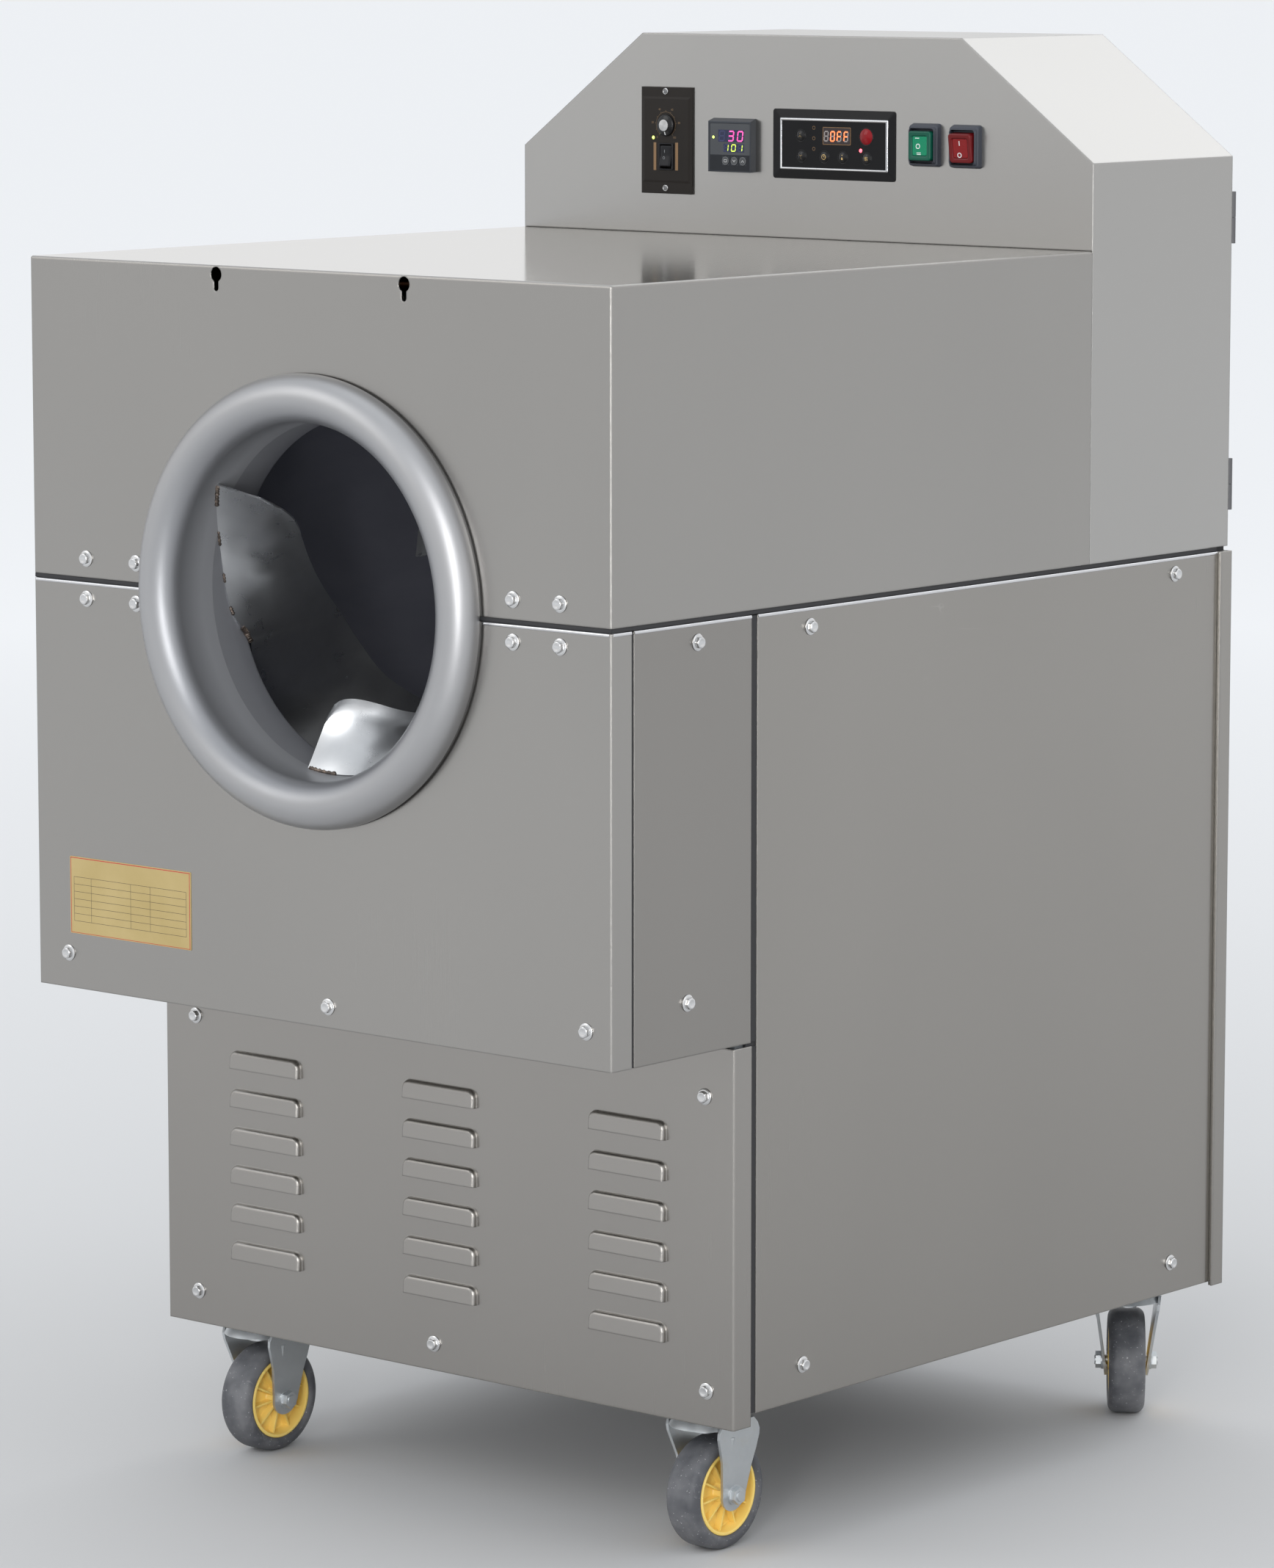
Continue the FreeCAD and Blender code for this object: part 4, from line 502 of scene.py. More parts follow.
def add_lathe(bm, prof, frame_m, seg=96, mat=0, close=True):
    """prof: (r, a) pairs in mm; frame_m maps local (x, y, z = axis) in mm to metres"""
    rings = []
    for (r, a) in prof:
        if r < 1e-6:
            rings.append([bm.verts.new(frame_m @ Vector((0, 0, a)))])
        else:
            rings.append([bm.verts.new(frame_m @ Vector((r * math.cos(2 * math.pi * i / seg), r * math.sin(2 * math.pi * i / seg), a))) for i in range(seg)])
    n = len(rings)
    for k in range(n if close else n - 1):
        A, B = rings[k], rings[(k + 1) % n]
        if len(A) == 1 and len(B) == 1:
            continue
        for i in range(seg):
            j = (i + 1) % seg
            if len(A) == 1:
                f = bm.faces.new((A[0], B[j], B[i]))
            elif len(B) == 1:
                f = bm.faces.new((A[i], A[j], B[0]))
            else:
                f = bm.faces.new((A[i], A[j], B[j], B[i]))
            f.material_index = mat
    return rings


def frame_y(x, y, z, sign=1.0):
    """local z -> +Y (or -Y with sign -1) at the given point"""
    m = Matrix(((0.001, 0, 0, x * 0.001), (0, 0, sign * 0.001, (y - Y0) * 0.001), (0, -sign * 0.001, 0, z * 0.001), (0, 0, 0, 1)))
    return m


def frame_dir(p, d):
    """local z -> direction d at point p (p in CAD mm)"""
    q = Vector((0, 0, 1)).rotation_difference(Vector(d).normalized()).to_matrix().to_4x4()
    return Matrix.Translation(P(*p)) @ q @ Matrix.Scale(0.001, 4)


def arc_pts(cx, cy, r, a0, a1, n):
    return [(cx + r * math.cos(math.radians(a0 + (a1 - a0) * k / n)), cy + r * math.sin(math.radians(a0 + (a1 - a0) * k / n))) for k in range(n + 1)]


def rpoly(pts, seg=6):
    """closed outline with rounded corners; pts are (x, y, r)"""
    out = []
    n = len(pts)
    for i in range(n):
        p0, p1, p2 = Vector(pts[i - 1][:2]), Vector(pts[i][:2]), Vector(pts[(i + 1) % n][:2])
        r = pts[i][2] if len(pts[i]) > 2 else 0
        if r <= 0:
            out.append(tuple(p1))
            continue
        d1, d2 = (p0 - p1).normalized(), (p2 - p1).normalized()
        ang = math.acos(max(-1, min(1, d1.dot(d2))))
        if ang > math.pi - 1e-3:
            out.append(tuple(p1))
            continue
        t = r / math.tan(ang / 2)
        a, b = p1 + d1 * t, p1 + d2 * t
        c = p1 + (d1 + d2).normalized() * (r / math.sin(ang / 2))
        va, vb = a - c, b - c
        th = va.angle_signed(vb)
        s = -1 if th > 0 else 1
        th = abs(va.angle(vb))
        base = math.atan2(va.y, va.x)
        cr = va.x * vb.y - va.y * vb.x
        for k in range(seg + 1):
            t_ = base + (th if cr > 0 else -th) * k / seg
            out.append((c.x + r * math.cos(t_), c.y + r * math.sin(t_)))
    return out


def rrect(x0, x1, z0, z1, r, seg=6):
    return rpoly([(x0, z0, r), (x1, z0, r), (x1, z1, r), (x0, z1, r)], seg)


def offset_outline(o, d):
    """moves every point inwards by d (outline counter-clockwise)"""
    n = len(o)
    area = sum(o[i][0] * o[(i + 1) % n][1] - o[(i + 1) % n][0] * o[i][1] for i in range(n))
    sg = 1.0 if area > 0 else -1.0
    out = []
    for i in range(n):
        p0, p1, p2 = Vector(o[i - 1]), Vector(o[i]), Vector(o[(i + 1) % n])
        e1, e2 = (p1 - p0), (p2 - p1)
        if e1.length < 1e-9 or e2.length < 1e-9:
            out.append(tuple(p1))
            continue
        e1.normalize(); e2.normalize()
        n1, n2 = Vector((-e1.y, e1.x)) * sg, Vector((-e2.y, e2.x)) * sg
        m = n1 + n2
        k = max(m.length_squared / 2.0, 0.2)
        out.append(tuple(p1 + m * (d / k)))
    return out


def xz(y):
    return lambda p: P(p[0], y, p[1])


def add_slab(bm, outline, place, depth0, depth1, b=0.4, seg=3, mat=0, both=False, back=True):
    """extruded outline; place(p, depth) -> metres; the depth1 side gets a rounded edge of radius b"""
    loops = []

    def loop(ins, dep):
        pts = offset_outline(outline, ins) if ins else outline
        loops.append([bm.verts.new(place(p, dep)) for p in pts])
    s = 1.0 if depth1 > depth0 else -1.0
    if both:
        loop(b + 0.35 * b, depth0)
        for k in range(seg, -1, -1):
            t = math.pi / 2 * k / seg
            loop(b * (1 - math.cos(t)), depth0 + s * b * (1 - math.sin(t)))
    else:
        loop(0, depth0)
    for k in range(seg + 1):
        t = math.pi / 2 * k / seg
        loop(b * (1 - math.cos(t)), depth1 - s * b * (1 - math.sin(t)))
    loop(b * 1.35, depth1)
    fs = []
    for A, B in zip(loops[:-1], loops[1:]):
        n = len(A)
        for i in range(n):
            j = (i + 1) % n
            fs.append(bm.faces.new((A[i], A[j], B[j], B[i])))
    fs.append(bm.faces.new(loops[-1]))
    if back:
        fs.append(bm.faces.new(list(reversed(loops[0]))))
    for f in fs:
        f.material_index = mat
    return fs


def fp(p, dep):
    """front-facing placement: outline (x, z), depth is y in CAD mm"""
    return P(p[0], dep, p[1])


def add_ring_frame(bm, outer, inner, y_back, y_front, b=0.5, seg=3, mat=0, place=fp):
    """frame between two outlines with the same number of points, rounded front edges"""
    def loops_of(o, sign):
        L = [[bm.verts.new(place(p, y_back)) for p in o]]
        s = 1.0 if y_front > y_back else -1.0
        for k in range(seg + 1):
            t = math.pi / 2 * k / seg
            L.append([bm.verts.new(place(p, y_front - s * b * (1 - math.sin(t)))) for p in offset_outline(o, sign * b * (1 - math.cos(t)))])
        return L
    A, B = loops_of(outer, 1.0), loops_of(inner, -1.0)
    n = len(outer)
    for L in (A, B):
        for a_, b_ in zip(L[:-1], L[1:]):
            for i in range(n):
                j = (i + 1) % n
                bm.faces.new((a_[i], a_[j], b_[j], b_[i])).material_index = mat
    for i in range(n):
        j = (i + 1) % n
        bm.faces.new((A[-1][i], A[-1][j], B[-1][j], B[-1][i])).material_index = mat
        bm.faces.new((A[0][i], A[0][j], B[0][j], B[0][i])).material_index = mat


def circle(x, z, r, n=32):
    return [(x + r * math.cos(2 * math.pi * i / n), z + r * math.sin(2 * math.pi * i / n)) for i in range(n)]


def add_flat(bm, outline, y, proud=0.06, mat=0, place=fp):
    """thin printed mark, proud of the surface at depth y towards -Y"""
    A = [bm.verts.new(place(p, y)) for p in outline]
    B = [bm.verts.new(place(p, y - proud)) for p in outline]
    n = len(A)
    for i in range(n):
        j = (i + 1) % n
        bm.faces.new((A[i], A[j], B[j], B[i])).material_index = mat
    bm.faces.new(B).material_index = mat
    bm.faces.new(list(reversed(A))).material_index = mat


def add_ring_mark(bm, x, z, r, w, y, n=28, proud=0.06, mat=0, a0=0.0, a1=360.0, place=fp):
    full = abs(a1 - a0) >= 359.9
    k = n if full else n + 1
    ang = [math.radians(a0 + (a1 - a0) * i / n) for i in range(k)]

    def row(rad, dep):
        return [bm.verts.new(place((x + rad * math.cos(t), z + rad * math.sin(t)), dep)) for t in ang]
    o0, o1, i0, i1 = row(r + w / 2, y), row(r + w / 2, y - proud), row(r - w / 2, y), row(r - w / 2, y - proud)
    m = k if full else k - 1
    for i in range(m):
        j = (i + 1) % k
        for a_, b_ in ((o0, o1), (o1, i1), (i1, i0), (i0, o0)):
            bm.faces.new((a_[i], a_[j], b_[j], b_[i])).material_index = mat
    if not full:
        for i in (0, k - 1):
            bm.faces.new((o0[i], o1[i], i1[i], i0[i])).material_index = mat


SEG7 = {"0": "abcdef", "1": "bc", "3": "abgcd", "8": "abcdefg", "O": "abcdef", "F": "aefg"}


def add_digit(bm, ch, xc, zc, w, h, t, y, mat_on, mat_off=None, slant=0.10, proud=0.05):
    """seven-segment digit, centre (xc, zc)"""
    hw, hh, g = w / 2, h / 2, t * 0.10
    segs = {
        "a": ((-hw, hh), (hw, hh)), "d": ((-hw, -hh), (hw, -hh)), "g": ((-hw, 0), (hw, 0)),
        "f": ((-hw, 0), (-hw, hh)), "b": ((hw, 0), (hw, hh)), "e": ((-hw, -hh), (-hw, 0)), "c": ((hw, -hh), (hw, 0))}
    for s, (p, q) in segs.items():
        on = s in SEG7[ch]
        if not on and mat_off is None:
            continue
        p, q = Vector(p), Vector(q)
        d = (q - p).normalized()
        nrm = Vector((-d.y, d.x))
        a, b = p + d * g, q - d * g
        ht = t / 2
        o = [a, a + d * ht + nrm * ht, b - d * ht + nrm * ht, b, b - d * ht - nrm * ht, a + d * ht - nrm * ht]
        o = [(xc + v.x + slant * v.y, zc + v.y) for v in o]
        add_flat(bm, o, y, proud if on else proud * 0.5, mat_on if on else mat_off)


def add_bar(bm, x0, x1, z0, z1, y, proud=0.06, mat=0):
    add_flat(bm, [(x0, z0), (x1, z0), (x1, z1), (x0, z1)], y, proud, mat)


def dial_number(txt, size):
    """outline mesh of a plain number from Blender's own font, as a list of flat polygons (x, z)"""
    cu = bpy.data.curves.new("num", "FONT")
    cu.body = txt
    cu.size = size
    cu.align_x = "CENTER"
    cu.align_y = "CENTER"
    ob = bpy.data.objects.new("num", cu)
    COL.objects.link(ob)
    bpy.context.view_layer.update()
    me = bpy.data.meshes.new_from_object(ob)
    polys = [[tuple(me.vertices[v].co[:2]) for v in p.vertices] for p in me.polygons]
    bpy.data.objects.remove(ob)
    bpy.data.curves.remove(cu)
    bpy.data.meshes.remove(me)
    return polys


# ---------------------------------------------------------------------------
# CAD nodes that stay: better materials
# ---------------------------------------------------------------------------
NODE_MAT = {
    "casing": ["upper_cover", "lower_front_panel"],
    "casing_tower": ["control_tower", "rear_door"],
    "casing_side": ["right_side_panel", "left_side_panel", "rear_panel"],
    "casing_louvre": ["louvre_panel"],
    "casing_narrow": ["front_side_panels"],
    "seal": ["body_seals"],
    "frame_paint": ["base_frame", "roller_brackets"],
    "motor_paint": ["gear_motor"],
    "bearing": ["rear_bearing"],
    "machined": ["drum_shaft", "drum_sprocket", "motor_sprocket", "front_roller_left", "front_roller_right"],
    "chain": ["drive_chain"],
    "copper": ["induction_coil"],
    "wool": ["insulation_jacket"],
    "module": ["power_module"],
    "fan_plastic": ["fan_frame", "fan_rotor"],
    "black_satin": ["cable_gland"],
    "power_case": ["power_controller"],
    "hinge": ["hinge_fixed_leaves", "hinge_door_leaves"],
    "bright": ["door_latch"],
    "speed_face": ["speed_controller"],
    "tc_case": ["temperature_controller"],
    "grey_button": ["temp_button_set", "temp_button_down", "temp_button_up"],
    "black_gloss": ["power_button_raise", "power_button_lower", "power_button_timer", "power_button_mode", "power_button_heat"],
    "red_dome": ["power_button_start"],
    "boot": ["switch_boots"],
    "black": ["speed_rocker"],
    "galv": ["caster_plates", "caster_fork_front_left", "caster_fork_front_right", "caster_fork_rear_left", "caster_fork_rear_right"],
}
for key, nodes in NODE_MAT.items():
    for nm in nodes:
        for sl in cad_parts[nm].material_slots:
            sl.material = M[key]

# ---------------------------------------------------------------------------
# drum: mouth ring, shell, vanes
# ---------------------------------------------------------------------------
DZ = 888.0
R_RING, R_ROLL, Y_RING, R_THR, T_DR = 210.0, 22.5, -3.5, 165.0, 2.0
R_DR, Y_THR, Y_CONE, Y_BACK = 250.0, 80.0, 120.0, 520.0
FY = frame_y(0, 0, DZ)          # local z = CAD y

rc, ri = R_RING - R_ROLL, R_ROLL - T_DR
prof = []
prof += arc_pts(rc, Y_RING, R_ROLL, 0, -180, 56)                     # outside of the roll, from the edge round the front
prof += [(R_THR, y) for y in (0, 8, 20, 39.96)]
prof += [(R_THR + T_DR, 39.96), (R_THR + T_DR, 20), (R_THR + T_DR, 0)]
prof += arc_pts(rc, Y_RING, ri, -180, -360, 40)
prof += [(R_RING - T_DR + 0.25, Y_RING + 0.25), (R_RING - 0.25, Y_RING + 0.25)]
bm = bmesh.new()
add_lathe(bm, prof, FY, seg=288)
ring = obj_from_bm("mouth_ring_skin", bm, M["ring"], "drum", angle=40)
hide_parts("mouth_ring")

prof = [(R_THR, 40.0), (R_THR, 60), (R_THR, Y_THR - 4), (R_THR + 0.8, Y_THR - 1.2), (R_THR + 3.2, Y_THR + 1.2), (R_THR + 12, Y_THR + 5.8)]
prof += [(R_THR + (R_DR - T_DR - R_THR) * t, Y_THR + (Y_CONE - Y_THR) * t) for t in (0.35, 0.6, 0.85, 0.95)]
prof += [(R_DR - T_DR - 0.8, Y_CONE + 0.6), (R_DR - T_DR, Y_CONE + 4), (R_DR - T_DR, 200), (R_DR - T_DR, 300), (R_DR - T_DR, 400), (R_DR - T_DR, 505)]
prof += arc_pts(R_DR - T_DR - 12, 505, 12, 0, 90, 6)[1:] + [(150, Y_BACK - 3), (0, Y_BACK - 3)]
prof += [(0, Y_BACK), (R_DR - 1, Y_BACK), (R_DR, Y_BACK - 1), (R_DR, Y_CONE), (R_THR + T_DR + 1, Y_THR - 0.6), (R_THR + T_DR, Y_THR - 2), (R_THR + T_DR, 40.0)]
bm = bmesh.new()
add_lathe(bm, prof, FY, seg=192)
merge(bm)
shell = obj_from_bm("drum_shell_skin", bm, M["drum"], "drum", angle=50)
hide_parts("drum_shell")

VW = [(143, 164.6, 14), (168, 164.6, 47), (189, 164.6, 63), (198, 164.2, 78), (206, 186, 92.5), (215, 236, 118.5),
      (230, 247.2, 165), (250, 247.2, 260), (268, 247.2, 380), (282, 247.2, 505)]
VI = [(147, 103, 78), (165, 118, 115), (182, 129, 150), (194, 139, 180), (206, 148, 205), (220, 158, 235),
      (236, 166, 290), (252, 172, 360), (268, 175, 440), (282, 175, 505)]


V_FRONT = {0: ((143, 164.6, 14), (134, 106, 60), VI[1]), 120: ((137, 164.6, 34), (135.7, 88, 60), VI[1]), 240: ((143, 164.6, 14), (147, 88, 60), (174, 90, 100))}


def knots(turn):
    """wall and inner knots of one vane, with its own front end"""
    return [V_FRONT[turn][0]] + VW[1:], list(V_FRONT[turn][1:]) + VI[2:]


def herm(tab, u):
    n_ = len(tab) - 1
    i = min(int(u), n_ - 1)
    f = u - i
    out = []
    for c in range(3):
        p0, p1, p2, p3 = tab[max(i - 1, 0)][c], tab[i][c], tab[i + 1][c], tab[min(i + 2, n_)][c]
        m1, m2 = (p2 - p0) / 2.0, (p3 - p1) / 2.0
        out.append((2 * f ** 3 - 3 * f ** 2 + 1) * p1 + (f ** 3 - 2 * f ** 2 + f) * m1 + (-2 * f ** 3 + 3 * f ** 2) * p2 + (f ** 3 - f ** 2) * m2)
    return out


def r_in(y):
    if y <= Y_THR:
        return R_THR
    if y >= Y_CONE:
        return R_DR - T_DR
    return R_THR + (R_DR - T_DR - R_THR) * (y - Y_THR) / (Y_CONE - Y_THR)


def wall_pt(u, turn, r_off=0.0):
    a = herm(knots(turn)[0], u)
    a[1] = min(a[1], r_in(a[2] - 1.6) - 0.3) + r_off
    t = math.radians(a[0] + turn)
    return Vector((a[1] * math.cos(t), a[2], DZ + a[1] * math.sin(t)))


def inner_pt(u, turn):
    a = herm(knots(turn)[1], u)
    t = math.radians(a[0] + turn)
    return Vector((a[1] * math.cos(t), a[2], DZ + a[1] * math.sin(t)))


def vane(bm, turn):
    NS, NW = 110, 16
    umax = len(VW) - 1.0
    grid = []
    for k in range(NS + 1):
        s = k / NS
        u = umax * s ** 1.12
        A_, B_ = wall_pt(u, turn), inner_pt(u, turn)
        # rounded front inner corner
        uc, cut = (0.62, 0.34) if turn != 240 else (0.16, 0.09)
        wmax = 1.0
        if u < uc:
            q = 1 - u / uc
            wmax = 1 - cut * (1 - math.sqrt(max(0.0, 1 - q * q)))
        row = []
        for j in range(NW + 1):
            w = wmax * j / NW
            p = A_.lerp(B_, w)
            row.append(p)
        grid.append(row)
    nor = []
    for k in range(NS + 1):
        row = []
        for j in range(NW + 1):
            dk = grid[min(k + 1, NS)][j] - grid[max(k - 1, 0)][j]
            dj = grid[k][min(j + 1, NW)] - grid[k][max(j - 1, 0)]
            row.append(dk.cross(dj).normalized())
        nor.append(row)
    # shallow folded lip along the inner edge and slightly beaten surface
    for k in range(NS + 1):
        for j in range(NW + 1):
            w = j / NW
            lip = 2.6 * max(0.0, (w - 0.84) / 0.16)
            dent = 0.9 * noise.noise(grid[k][j] * 0.018) + 0.35 * noise.noise(grid[k][j] * 0.06)
            edge = min(1.0, w * 6)
            grid[k][j] = grid[k][j] + nor[k][j] * (lip + dent * edge)
    h = 1.0
    va = [[bm.verts.new(P(*(grid[k][j] + nor[k][j] * h))) for j in range(NW + 1)] for k in range(NS + 1)]
    vb = [[bm.verts.new(P(*(grid[k][j] - nor[k][j] * h))) for j in range(NW + 1)] for k in range(NS + 1)]
    for k in range(NS):
        for j in range(NW):
            bm.faces.new((va[k][j], va[k + 1][j], va[k + 1][j + 1], va[k][j + 1]))
            bm.faces.new((vb[k][j], vb[k][j + 1], vb[k + 1][j + 1], vb[k + 1][j]))
        bm.faces.new((va[k][0], vb[k][0], vb[k + 1][0], va[k + 1][0]))
        bm.faces.new((va[k][NW], va[k + 1][NW], vb[k + 1][NW], vb[k][NW]))
    for j in range(NW):
        bm.faces.new((va[0][j], va[0][j + 1], vb[0][j + 1], vb[0][j]))
        bm.faces.new((va[NS][j], vb[NS][j], vb[NS][j + 1], va[NS][j + 1]))


bm = bmesh.new()
for turn in (0, 120, 240):
    vane(bm, turn)
vanes = obj_from_bm("spiral_vanes", bm, M["vane"], "drum", angle=40)
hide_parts("drum_vanes")


def add_bead(bm, pts, rad, seg=7, wob=0.25, seed=0):
    """irregular weld bead along points (CAD mm)"""
    rings = []
    n = len(pts)
    for i, p in enumerate(pts):
        d = (pts[min(i + 1, n - 1)] - pts[max(i - 1, 0)]).normalized()
        a = d.cross(Vector((0.3, 0.2, 0.9))).normalized()
        b = d.cross(a)
        r = rad * (1 + wob * math.sin(i * 2.1 + seed) + wob * noise.noise(p * 0.35 + Vector((seed, 0, 0))))
        if i in (0, n - 1):
            r *= 0.35
        rings.append([bm.verts.new(P(*(p + a * (r * math.cos(2 * math.pi * k / seg)) + b * (r * math.sin(2 * math.pi * k / seg))))) for k in range(seg)])
    for A, B in zip(rings[:-1], rings[1:]):
        for k in range(seg):
            j = (k + 1) % seg
            bm.faces.new((A[k], A[j], B[j], B[k]))
    bm.faces.new(rings[0])
    bm.faces.new(list(reversed(rings[-1])))


bm = bmesh.new()
for t_i, turn in enumerate((0, 120, 240)):
    for (u0, u1, rad) in ((0.02, 0.42, 2.1), (0.75, 0.95, 1.5), (1.35, 1.5, 1.3), (1.9, 2.1, 1.6), (2.55, 3.25, 2.3), (3.9, 4.6, 2.2), (5.2, 6.0, 2.0)):
        n = int((u1 - u0) * 42) + 4
        pts = [wall_pt(u0 + (u1 - u0) * i / n, turn, -0.6) for i in range(n + 1)]
        add_bead(bm, pts, rad, seed=u0 * 7 + t_i)
beads = obj_from_bm("vane_welds", bm, M["weld"], "drum", angle=80)

# ---------------------------------------------------------------------------
# hex flange bolts
# ---------------------------------------------------------------------------
FRONT_X = (-292.0, -226.0, 247.0, 303.0)
Y_TOW, Y_LOUV, Y_RP, HW = 709.65, 171.56, 943.2, 363.0
BOLTS = []
for x in FRONT_X:
    BOLTS.append(((x, 0, 908.2), (0, -1, 0)))
for (x, z) in [(x, 870.0) for x in FRONT_X] + [(-322.0, 526.7), (18.0, 513.2), (333.0, 527.2)]:
    BOLTS.append(((x, 0, z), (0, -1, 0)))
for (x, z) in ((-322.0, 442.0), (328.0, 442.5), (-321.0, 166.0), (-8.0, 160.0), (330.5, 167.0)):
    BOLTS.append(((x, Y_LOUV, z), (0, -1, 0)))
for x in (-335.0, 335.0):
    for z in (172.0, 515.0, 862.0):
        BOLTS.append(((x, Y_RP, z), (0, 1, 0)))
for (y, z) in ((118.5, 868.0), (105.0, 542.3), (279.5, 868.0), (852.0, 869.5), (272.0, 179.0), (858.0, 176.5)):
    for s in (-1, 1):
        BOLTS.append(((s * HW, y, z), (s, 0, 0)))


def add_hex_bolt(bm, p, d, turn):
    F = frame_dir(p, d)
    # flange and washer skirt
    pr = [(3.2, 0.05), (7.5, 0.05), (7.85, 0.35), (7.8, 0.8), (7.2, 1.25), (5.9, 1.6), (3.2, 1.6)]
    add_lathe(bm, pr, F, seg=40)
    # hex head with domed top and dimple
    R = 10.0 / math.sqrt(3.0)

    def hexr(t, k):
        """radius of a rounded hexagon at angle t; k = 1 full hexagon"""
        a = (math.degrees(t) - turn) % 60 - 30
        h = (10.0 / 2) / math.cos(math.radians(a))
        return min(h, R * 0.965) * k
    seg = 48
    lv = [(1.3, 1.0, None), (4.1, 1.0, None), (4.75, 1.0, 5.15), (5.2, 1.0, 4.75), (5.42, 1.0, 4.2), (5.38, 1.0, 3.4), (5.05, 1.0, 2.5), (4.95, 1.0, 1.2)]
    rings = []
    for (z, k, cap) in lv:
        row = []
        for i in range(seg):
            t = 2 * math.pi * i / seg
            r = hexr(t, k)
            if cap:
                r = min(r, cap)
            row.append(bm.verts.new(F @ Vector((r * math.cos(t), r * math.sin(t), z))))
        rings.append(row)
    for A, B in zip(rings[:-1], rings[1:]):
        for i in range(seg):
            j = (i + 1) % seg
            bm.faces.new((A[i], A[j], B[j], B[i]))
    c = bm.verts.new(F @ Vector((0, 0, 4.93)))
    for i in range(seg):
        bm.faces.new((rings[-1][i], rings[-1][(i + 1) % seg], c))
    bm.faces.new(list(reversed(rings[0])))
    add_lathe(bm, [(0, -4.5), (2.6, -4.5), (3.0, -4.1), (3.0, 1.0), (0, 1.0)], F, seg=16)


bm = bmesh.new()
for i, (p, d) in enumerate(BOLTS):
    add_hex_bolt(bm, p, d, (17 + 37 * i) % 60)
# the two screws of the speed controller: bright rim round a dark recess
for z in (1334.6, 1237.25):
    F = frame_dir((-170.4, Y_TOW - 2.8, z), (0, -1, 0))
    add_lathe(bm, [(0, -5), (1.8, -5), (1.8, 0.02), (3.28, 0.05), (3.25, 0.6), (3.0, 1.0), (2.75, 1.08), (2.6, 0.95), (2.55, 0.55)], F, seg=32, close=False)
    add_lathe(bm, [(2.56, 0.56), (1.9, 0.72), (0.5, 0.78), (0, 0.78)], F, seg=32, mat=1, close=False)
merge(bm)
bolts = obj_from_bm("flange_bolts", bm, [M["bright"], M["screw"]], "chassis", angle=28)
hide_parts("panel_fasteners")

# ---------------------------------------------------------------------------
# folded edges: rounded hems on the top edges of the lower panels, and the hem
# of the rear panel's wrap-round flanges that closes against the side panels
# ---------------------------------------------------------------------------
def add_strip(bm, prof, place, a0, a1):
    """closed profile (out, z or y) carried from a0 to a1"""
    L0 = [bm.verts.new(place(p, a0)) for p in prof]
    L1 = [bm.verts.new(place(p, a1)) for p in prof]
    n_ = len(prof)
    for i in range(n_):
        j = (i + 1) % n_
        bm.faces.new((L0[i], L0[j], L1[j], L1[i]))
    bm.faces.new(L0)
    bm.faces.new(list(reversed(L1)))


HEM = [(0.02, 882.7), (0.42, 882.95), (0.68, 883.45), (0.76, 884.05), (0.68, 884.65), (0.44, 885.2), (0.08, 885.62), (-0.4, 885.88), (-0.9, 885.95),
       (-1.45, 885.93), (-1.45, 885.5), (-1.0, 885.0), (-1.0, 882.9)]
bm = bmesh.new()
for sd in (-1, 1):
    def on_side(p, a, sd=sd):
        return P(sd * (HW + p[0]), a, p[1])
    for (a0, a1) in ((2.4, 27.2), (31.2, 194.4), (203.9, 924.0)):
        add_strip(bm, HEM, on_side, a0, a1)
for (a0, a1) in ((-360.6, -211.0), (211.0, 360.6)):
    add_strip(bm, HEM, lambda p, a: P(a, -p[0], p[1]), a0, a1)
# The top hems carry the brighter steel as a painted highlight along the fold.
hems = obj_from_bm("panel_top_hems", bm, M["hem"], "chassis", angle=50)
bm = bmesh.new()
LIP = [(363.12, 924.42), (363.12, 926.2), (367.04, 926.2), (367.06, 925.6), (367.04, 925.1), (366.9, 924.75), (366.6, 924.5), (366.2, 924.42)]
for sd in (-1, 1):
    add_strip(bm, LIP, lambda p, a, sd=sd: P(sd * p[0], p[1], a), 142.3, 885.4)
lips = obj_from_bm("rear_flange_hems", bm, M["casing_side"], "chassis", angle=50)

# rounded faces of the seal strips, just under the sheet surface
bm = bmesh.new()


def seal_prof(base, g0, g1):
    return [(base - 3.0, g0), (base - 0.95, g0), (base - 0.62, g0 + 0.3), (base - 0.5, g0 + 0.9), (base - 0.5, g1 - 0.9), (base - 0.62, g1 - 0.3),
            (base - 0.95, g1), (base - 3.0, g1)]


for sd in (-1, 1):
    def up(p, a, sd=sd):
        return P(sd * p[0], p[1], a)

    def along(p, a, sd=sd):
        return P(sd * p[0], a, p[1])
    add_strip(bm, seal_prof(HW, 27.7, 30.7), up, 494.0, 885.2)
    add_strip(bm, seal_prof(HW, 194.9, 203.4), up, 494.0, 885.2)
    add_strip(bm, seal_prof(HW, 196.5, 203.4), up, 146.5, 489.5)
    add_strip(bm, seal_prof(HW, 886.1, 890.2), along, 1.6, 923.6)
for (a0, a1) in ((-362.2, -180.0), (180.0, 362.2)):
    add_strip(bm, seal_prof(0.0, 886.1, 890.2), lambda p, a: P(a, -p[0], p[1]), a0, a1)
seal_faces = obj_from_bm("seal_strip_faces", bm, M["seal"], "chassis", angle=50)

